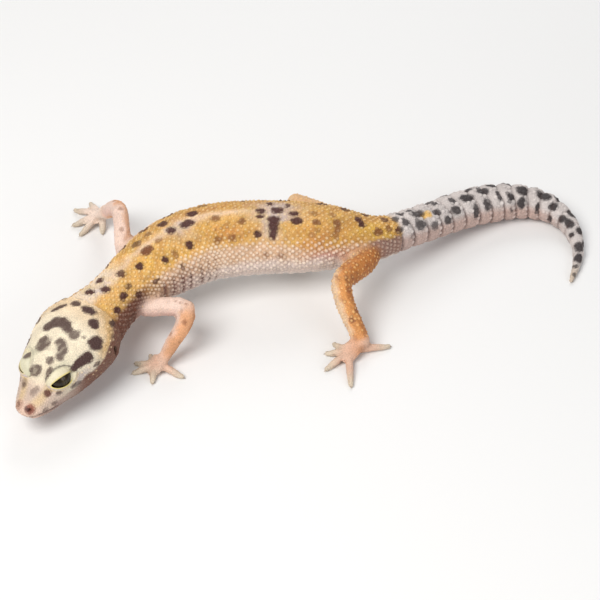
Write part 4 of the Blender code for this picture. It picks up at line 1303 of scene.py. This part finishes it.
def makeBodyWarts():
    rings = []
    row, lengthAt = 0, bodyWarts["from"]
    while lengthAt < bodyWarts["to"]:
        girth = bodyWarts["girth"] - bodyWarts["hipsLess"] * smoothStep(84, 96, lengthAt)
        girth -= bodyWarts["neckLess"] * fadeOut(18, 34, lengthAt)
        for way in (1, -1):
            degrees = 0.0 if row % 2 else 0.5 * math.degrees(bodyWarts["aroundGap"] / girth)
            while degrees < bodyWarts["reach"]:
                here = lengthAt + random.uniform(-0.16, 0.16)
                rings.append(spineRing(here, way * degrees + random.uniform(-1.0, 1.0)))
                flank = smoothStep(40, 62, degrees)
                gap = bodyWarts["aroundGap"] + (bodyWarts["flankGap"] - bodyWarts["aroundGap"]) * flank
                degrees += math.degrees(gap / girth)
        row += 1
        lengthAt += bodyWarts["rowGap"]
    roots = castRoots(rings, 16)
    length, around, _, _ = roots["places"]
    bare = 0.25 * bump(around, -4, 16) * (length < 72)  # fewer along the pale stripe
    keep = (roots["weights"][:, 1:4].sum(1) > 0.6) & (random.random(len(length)) > bare)
    roots = pick(roots, keep)
    length, side, count = length[keep], np.abs(around[keep]), keep.sum()
    flank, low, front = smoothStep(42, 60, side), smoothStep(92, 112, side), fadeOut(28, 36, length)
    sizes = bodyWarts["radius"] + (bodyWarts["flankRadius"] - bodyWarts["radius"]) * flank
    sizes = sizes * random.uniform(0.8, 1.12, count) * (1 - 0.2 * low) * (1 - 0.25 * front * flank)
    heights = bodyWarts["height"] * random.uniform(0.75, 1.15, count) * (1 - 0.45 * low)
    lighten = random.uniform(0.25, 0.6, count)
    lighten = lighten + (0.26 - 0.2 * front) * flank * random.uniform(0.3, 1.0, count)
    # warts stay dark in the thighs' painted shadow at the tail's base
    lighten = lighten * (1 - 0.6 * smoothStep(50, 58, side) * smoothStep(97, 100, length))
    lighten = lighten * (1 - 0.72 * front * smoothStep(52, 66, side))
    tint = paintOver(plain("wart", count), ("flankWart", flank))
    growScales("bodyWarts", roots, wartShape, sizes, heights, lighten, tint)
    return roots["points"]


tailWarts = {
    "radius": 0.66,
    "height": 0.32,
    "rows": ((0.78, 1.75, 112), (0.45, 2.625, 70)),  # share of the ring's length, gap, degrees down each side
    "girth": 5.3,
}


def makeTailWarts():
    rings = []
    ends = tailRings["ends"]
    for ring, (start, end) in enumerate(zip(ends[:-1], ends[1:])):
        for share, gap, reach in tailWarts["rows"]:
            lengthAt = start + (end - start) * share
            girth = max(0.9, tailWarts["girth"] * (1 - smoothStep(140, 192, lengthAt) * 0.85))
            step = math.degrees(gap / girth)
            for degrees in np.arange(-reach + (step / 2 if ring % 2 else 0), reach, step):
                slanted = lengthAt + tailRings["slant"] * (abs(degrees) - 60)
                rings.append(spineRing(slanted + random.uniform(-0.12, 0.12), degrees))
    roots = castRoots(rings, 9)
    roots = pick(roots, roots["weights"][:, 3] > 0.5)
    slim = np.clip(roots["places"][2] / 5.0, 0.35, 1.0)
    count = len(slim)
    sizes = tailWarts["radius"] * slim * random.uniform(0.8, 1.1, count)
    heights = tailWarts["height"] * slim * random.uniform(0.8, 1.1, count)
    lighten = random.uniform(0.1, 0.45, count)
    growScales("tailWarts", roots, wartShape, sizes, heights, lighten, plain("tailWart", count))
    return roots["points"]


limbWarts = {  # the head's are along the rear of its dark line
    "tries": 26000,
    "gap": {"leg": 0.98, "arm": 1.9, "head": 1.15},
    "radius": {"leg": 0.41, "arm": 0.28, "head": 0.36},
    "height": {"leg": 0.26, "arm": 0.14, "head": 0.24},
}


def makeLimbWarts():
    def spacing(points, weights, *_):
        back, _, height = headPlace(points)
        over = overDarkLine(back, height)
        rearHead = (weights[:, 0] > 0.6) & (back > 15) & (over > -3.5) & (over < 2.6)
        gap = np.where(weights[:, 5] > 0.6, limbWarts["gap"]["leg"], 0.0)
        gap = np.where(weights[:, 4] > 0.6, limbWarts["gap"]["arm"], gap)
        return np.where(rearHead, limbWarts["gap"]["head"], gap)

    roots, gaps = scatter(limbWarts["tries"], spacing)
    count = len(gaps)
    onHead, onArm = roots["weights"][:, 0] > 0.5, roots["weights"][:, 4] > 0.5

    def each(sizes):
        return np.where(onHead, sizes["head"], np.where(onArm, sizes["arm"], sizes["leg"]))

    sizes = each(limbWarts["radius"]) * random.uniform(0.75, 1.2, count)
    heights = each(limbWarts["height"]) * random.uniform(0.75, 1.15, count)
    back, _, height = headPlace(roots["points"])
    under = smoothStep(0.4, 1.6, -overDarkLine(back, height))
    lighten = random.uniform(0.3, 0.75, count) * np.where(onArm, 0.5, 1.0)
    lighten = lighten * np.where(onHead, 1 - 0.75 * under, 1.0)
    tint = np.where(onHead[:, None], plain("headWart", count), plain("limbWart", count))
    growScales("limbWarts", roots, wartShape, sizes, heights, lighten, tint)
    return roots["points"]


grain = {
    "tries": 260000,
    "gap": (0.56, 0.52, 0.52, 0.54, 0.52, 0.52, 0.5),  # for each region, in the order of regionNames
    "rearHeadLess": 0.06,
    "bellyMore": 0.3,
    "tailSideMore": 0.4,
    "radius": 0.57,  # as a share of the gap
    "fromWarts": 0.4,
}


def grainSpacing(points, weights, length, around):
    # body, belly, tail, head and feet each have their own size of fine scale
    head, neck, body, tail = weights.T[:4]
    side = np.abs(around)
    gap = weights @ np.array(grain["gap"])
    gap -= grain["rearHeadLess"] * smoothStep(12, 22, headPlace(points)[0]) * head
    gap += grain["bellyMore"] * smoothStep(104, 122, side) * (neck + body)
    gap += grain["tailSideMore"] * smoothStep(62, 88, side) * tail * fadeOut(140, 186, length)
    for sign in (1, -1):
        ring, _, out, off = lidOutline(points, sign)
        hidden = (out > 0) & (ring < 0.97) & (np.linalg.norm(off, axis=1) < 5.5)
        hidden |= distance(points, nostrilPoint(sign)) < nostril["radius"] + 0.1
        gap = np.where(hidden, 0.0, gap)
    return gap


def makeGrain(wartPlaces):
    roots, gaps = scatter(grain["tries"], grainSpacing)
    tree = treeOf(wartPlaces)
    clear = np.array([tree.find(point)[2] > grain["fromWarts"] for point in roots["points"]])
    roots, gaps = pick(roots, clear), gaps[clear]
    part = roots["weights"].argmax(1)
    for name, chosen, slot, shape, rise, jitter in (
        ("grainHead", part == 0, "skin_head", plateShape, 0.24, 0.025),
        ("grainBody", (part == 1) | (part == 2), "skin_body", grainShape, 0.4, 0.07),
        ("grainTail", part == 3, "skin_tail", grainShape, 0.3, 0.04),
        ("grainLimbs", part >= 4, "skin_limb", grainShape, 0.24, 0.03),
    ):
        sizes = gaps[chosen] * grain["radius"]
        lighten = random.uniform(0.0, 1.0, chosen.sum())
        growScales(name, pick(roots, chosen), shape, sizes, sizes * rise, lighten, None, jitter)


makeGrain(np.vstack([makeBodyWarts(), makeTailWarts(), makeLimbWarts()]))


# eyelids
lids = {
    "outerRadius": 3.88,
    "edgeRadius": 3.53,
    "hiddenRadius": 3.18,  # the last row is just inside the eyeball
    "sides": 84,
    "steps": 12,
}


def lidEdge(angle, sign):
    # the gap between the lids: nearly straight above, full below, pointed at its corners
    lift = np.sin(angle)
    drop = 0.0 if sign > 0 else 1.6 * eyes["farLidDrop"]
    tall = np.where(lift > 0, eyes["openingUp"] - drop, eyes["openingDown"])
    bent = np.sign(lift) * np.abs(lift) ** np.where(lift > 0, 1.3, 1.05)
    slope = 0.12 * np.cos(angle) * (1 - np.abs(lift))
    return np.cos(angle) * eyes["openingLength"], bent * tall - slope


def makeLids(name, sign):
    middle, along, upward, outward = eyeAxes(sign)
    steps, sides, near = lids["steps"], lids["sides"], sign > 0
    step = np.repeat(np.arange(steps + 3), sides)
    angle = np.tile(2 * math.pi * np.arange(sides) / sides, steps + 3)
    share = np.minimum(step / steps, 1.0)  # 0 at the outer edge of the lids, 1 at the gap between them
    upper, atEdge, hidden = np.sin(angle) > 0, step == steps + 1, step == steps + 2
    outX = np.cos(angle) * eyes["lidLength"]
    outY = np.sin(angle) * np.where(upper, eyes["lidUp"], eyes["lidDown"])
    edgeX, edgeY = lidEdge(angle, sign)
    x = (outX + (edgeX - outX) * share) * np.where(hidden, 1.03, 1.0)
    y = (outY + (edgeY - outY) * share) * np.where(hidden, 1.05, 1.0)
    radius = lids["outerRadius"] - 0.06 * np.sin(share * math.pi) * upper - 0.16 * share**2
    radius -= 0.28 * fadeOut(0.0, 0.3, share) + 0.5 * (step == 0)  # starts inside the skin
    radius += 0.07 * bump(share, 0.92, 0.07) + 0.02 * np.sin(share * 30) * (share < 0.85)
    radius = np.where(atEdge, lids["edgeRadius"], np.where(hidden, lids["hiddenRadius"], radius))
    reach = np.maximum(np.hypot(x, y), 1e-6)
    inward = np.minimum(reach, radius * 0.995) / reach
    x, y = x * inward, y * inward
    z = np.sqrt(np.maximum(radius**2 - x * x - y * y, 0.0)) - 1.3 * (step == 0)
    points = middle + np.outer(x, along) + np.outer(y, upward) + np.outer(z, outward)
    faces = []
    for low in range(0, len(points), sides):  # the last row joins the first, behind the eye's surface
        faces += bandFaces(low, (low + sides) % len(points), sides)
    mesh = meshFrom(name, points, [quad[::-1] for quad in faces] if near else faces)
    rim = np.where(upper, smoothStep(0.72, 0.95, share), smoothStep(0.4, 0.75, share))
    tint = paintOver(
        np.where(upper[:, None], linear(tones["lid" if near else "brow"]), linear(tones["cheek"])),
        ("lidRim", rim * (1.0 if near else 0.55)),
        # painted shade in the fold at the lids' outer edge, over a little darker skin
        ("lidFoldShade", fadeOut(0.02, 0.14, share) * np.where(upper, 0.85 if near else 0.3, 0.25)),
        # painted shade on the rows that turn in behind the lids, against the eyeball
        ("lidBackShade", (step > steps) * 1.0),
    )
    if not near:  # the far brow's dark mark runs down onto its lid
        gap = distance(points, headPoint(11.9, -5.7, 12.0))
        tint = paintOver(tint, ("headSpot", fadeOut(1.3, 1.9, gap) * 0.85))
    writeColour(mesh, tint)
    mesh.materials.append(scaleHide)
    piece = addPiece(name, mesh)
    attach(piece, "root")


# eyeballs
eyeLook = {
    # the iris's colours are painted dark, as the upper lid's shadow over it
    "shadedIris": (44, 33, 18),
    "irisRim": (16, 12, 9),
    "vein": (24, 18, 12),
    "gold": (92, 76, 46),
    "pupil": (6, 5, 5),
    "pupilHalfWidth": 0.13,
    "pupilHalfHeight": 1.85,
    "irisRadius": 2.35,
    "bulge": 0.045,
}


def makeEyeMaterial():
    material, tree, shader = newMaterial("eyeWet")

    def times(first, second, clamp=False):
        return calculate(tree, "MULTIPLY", first, second, clamp=clamp)

    def minus(first, second, clamp=False):
        return calculate(tree, "SUBTRACT", first, second, clamp=clamp)

    def mix(share, first, second):
        inputs = {0: share}
        for number, colour in ((6, first), (7, second)):  # the node's two colours
            inputs[number] = (*linear(colour), 1.0) if isinstance(colour, tuple) else colour
        return addNode(tree, "Mix", inputs, data_type="RGBA").outputs[2]

    place = addNode(tree, "Attribute", attribute_name="eyePlace").outputs["Vector"]
    across, lift, _ = addNode(tree, "SeparateXYZ", {0: place}).outputs
    aside = calculate(tree, "ABSOLUTE", across)
    stretched = addNode(tree, "Mapping", {"Vector": place, "Scale": (1.0, 0.45, 1.0)}).outputs[0]
    noise = {"Vector": stretched, "Scale": 2.6, "Detail": 5, "Distortion": 1.4}
    veins = addNode(tree, "TexNoise", noise).outputs["Fac"]
    shadedIris = mix(times(minus(veins, 0.48), 6.0, True), eyeLook["shadedIris"], eyeLook["vein"])
    # gold flecks gather along the slit, and the iris darkens toward its rim
    shadedIris = mix(times(minus(1.0, times(aside, 1.3), True), 0.55), shadedIris, eyeLook["gold"])
    radius = calculate(tree, "SQRT", calculate(tree, "ADD", times(across, across), times(lift, lift)))
    shadedIris = mix(times(minus(radius, eyeLook["irisRadius"]), 2.2, True), shadedIris, eyeLook["irisRim"])
    # the slit: narrow, wavy, closed at its ends
    tall = calculate(tree, "DIVIDE", lift, eyeLook["pupilHalfHeight"])
    fade = calculate(tree, "SQRT", minus(1.0, times(tall, tall), True))
    wave = times(calculate(tree, "COSINE", times(lift, 6.5)), 0.3)
    wave = calculate(tree, "ADD", 1.0, wave)
    width = times(times(fade, wave), eyeLook["pupilHalfWidth"])
    colour = mix(times(minus(width, aside), 16.0, True), shadedIris, eyeLook["pupil"])
    tree.links.new(colour, shader.inputs["Base Color"])
    addBumps(tree, shader, veins, 0.15, 0.05)
    shader.inputs["Roughness"].default_value = 0.22
    shader.inputs["Specular IOR Level"].default_value = 0.12
    shader.inputs["Coat Weight"].default_value = 0.45
    shader.inputs["Coat Roughness"].default_value = 0.03
    return material


eyeWet = makeEyeMaterial()


def makeEyeball(name, sign, node):
    middle, along, upward, outward = eyeAxes(sign)
    deselectAll()
    bpy.ops.mesh.primitive_uv_sphere_add(segments=48, ring_count=32, radius=eyes["radius"] * mm)
    ball = bpy.context.active_object
    ball.name = name
    mesh = ball.data
    local = getPoints(mesh)
    layer = mesh.attributes.new(name="eyePlace", type="FLOAT_VECTOR", domain="POINT")
    layer.data.foreach_set("vector", local.astype(np.float32).ravel())
    # the clear front stands out a little over the slit
    shaped = local * (1 + eyeLook["bulge"] * smoothStep(0.55, 1.0, local[:, 2] / eyes["radius"]))[:, None]
    setPoints(mesh, middle + shaped[:, :1] * along + shaped[:, 1:2] * upward + shaped[:, 2:3] * outward)
    if np.dot(np.cross(along, upward), outward) < 0:
        mesh.flip_normals()
    shadeSmooth(mesh)
    mesh.materials.append(eyeWet)
    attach(ball, "root")
    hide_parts(node)


for label, sign in (("Left", 1), ("Right", -1)):
    makeLids("lids" + label, sign)
    makeEyeball("eyeball" + label, sign, "eye_" + label.lower())
print("eyes and lids")


# claws
claws = {
    "length": 1.5,
    "radius": 0.3,
    "rootHeight": 0.62,
    "arch": 0.12,
    "droop": 0.42,
    "sides": 10,
    "rings": 7,
    "darkHorn": (150, 124, 100),
    "paleHorn": (206, 184, 158),
}


def makeClawMaterial():
    material, tree, shader = newMaterial("clawHorn")
    place = addNode(tree, "TexCoord").outputs["Object"]
    cloud = addNode(tree, "TexNoise", {"Vector": place, "Scale": 2600}).outputs["Fac"]
    horn = addRamp(tree, cloud, (0.35, linear(claws["darkHorn"])), (0.7, linear(claws["paleHorn"])))
    tree.links.new(horn, shader.inputs["Base Color"])
    addBumps(tree, shader, cloud, 0.2, 0.02)
    shader.inputs["Roughness"].default_value = 0.32
    return material


clawHorn = makeClawMaterial()


def clawShape(tip, middle):
    # a hooked cone, with the points of its rings first, then its tip and its root
    away = np.array([*(np.array(tip) - np.array(middle)), 0.0])
    away /= np.linalg.norm(away)
    side = np.array([-away[1], away[0], 0.0])
    start = np.array([*tip, claws["rootHeight"]]) + shift - away * claws["length"]
    points = []
    for share in np.arange(claws["rings"]) / claws["rings"]:
        centre = start + away * claws["length"] * share
        centre[2] += claws["arch"] * math.sin(share * math.pi) - claws["droop"] * share**2
        radius = claws["radius"] * (1 - share) ** 0.8
        for angle in 2 * math.pi * np.arange(claws["sides"]) / claws["sides"]:
            across, lift = math.cos(angle) * radius * 0.8, math.sin(angle) * radius
            points.append(centre + side * across + np.array([0, 0, lift]))
    return [*points, start + away * claws["length"] - np.array([0, 0, claws["droop"]]), start]


def makeClaws():
    # they start inside the toe tips and end where the solid claws do
    sides = claws["sides"]
    for name, (middle, tips) in pose["toes"].items():
        points, faces = [], []
        for tip in tips:
            first = len(points)
            last = first + (claws["rings"] - 1) * sides
            points += clawShape(tip, middle)
            for low in range(first, last, sides):
                faces += bandFaces(low, low + sides, sides)
            for number in range(sides):
                after = (number + 1) % sides
                faces.append((first + after, first + number, len(points) - 1))
                faces.append((last + number, last + after, len(points) - 2))
        mesh = meshFrom(name + "Claws", points, faces)
        mesh.materials.append(clawHorn)
        piece = addPiece(name + "Claws", mesh)
        makeActive(piece)
        bpy.ops.object.mode_set(mode="EDIT")
        bpy.ops.mesh.select_all(action="SELECT")
        bpy.ops.mesh.normals_make_consistent(inside=False)
        bpy.ops.object.mode_set(mode="OBJECT")
        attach(piece, "root")
        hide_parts(*[f"{name}_claw_{number}" for number in range(1, 6)])


makeClaws()
print("claws")


# floor, light and camera
stage = {
    "floorSize": 6.0,  # in metres
    "floorShades": (0.86, 0.9),
    "roomLight": 0.31,
    "lights": {  # place, size, power, colour
        "keyLight": ((-260, -240, 520), 420, 3.05, (1.0, 0.98, 0.95)),
        "fillLight": ((420, -380, 300), 420, 0.8, (0.95, 0.97, 1.0)),
        "rimLight": ((60, 480, 360), 300, 0.9, (1.0, 1.0, 1.0)),
    },
}
view = {
    "target": (-4.29, -3.93, 8.0),
    "elevation": 44.0,
    "distance": 438.6,
    "lens": 100.0,
}


def makeFloor():
    deselectAll()
    bpy.ops.mesh.primitive_plane_add(size=stage["floorSize"], location=(0, 0, 0))
    floor = bpy.context.active_object
    floor.name = "paleFloor"
    material, tree, shader = newMaterial("paleFloor")
    place = addNode(tree, "TexCoord").outputs["Object"]
    cloud = addNode(tree, "TexNoise", {"Vector": place, "Scale": 3}).outputs["Fac"]
    low, high = stage["floorShades"]
    tree.links.new(addRamp(tree, cloud, (0, [low] * 3), (1, [high] * 3)), shader.inputs["Base Color"])
    shader.inputs["Roughness"].default_value = 0.85
    floor.data.materials.append(material)


def addLight(name, place, size, power, colour):
    deselectAll()
    bpy.ops.object.light_add(type="AREA", location=[value * mm for value in place])
    lamp = bpy.context.active_object
    lamp.name = name
    lamp.data.shape = "DISK"
    lamp.data.size = size * mm
    lamp.data.energy = power
    lamp.data.color = colour
    middle = Vector((0, 0, 8)) * mm
    lamp.rotation_euler = (middle - lamp.location).to_track_quat("-Z", "Y").to_euler()


def makeRoom():
    world = bpy.data.worlds.new("softRoom")
    world.use_nodes = True
    background = world.node_tree.nodes["Background"]
    background.inputs["Color"].default_value = (1.0, 1.0, 1.0, 1)
    background.inputs["Strength"].default_value = stage["roomLight"]
    bpy.context.scene.world = world
    bpy.context.scene.view_settings.view_transform = "Standard"


def makeCamera():
    elevation = math.radians(view["elevation"])
    away = Vector((0, -math.cos(elevation), math.sin(elevation)))
    place = Vector(view["target"]) * mm + away * view["distance"] * mm
    bpy.ops.object.camera_add(location=place)
    camera = bpy.context.active_object
    camera.rotation_euler = (-away).to_track_quat("-Z", "Y").to_euler()
    camera.data.lens = view["lens"]
    camera.data.sensor_width = 36.0
    camera.data.clip_start = 0.01
    camera.data.clip_end = 20
    bpy.context.scene.camera = camera


makeFloor()
for name, settings in stage["lights"].items():
    addLight(name, *settings)
makeRoom()
makeCamera()
print("stage set")
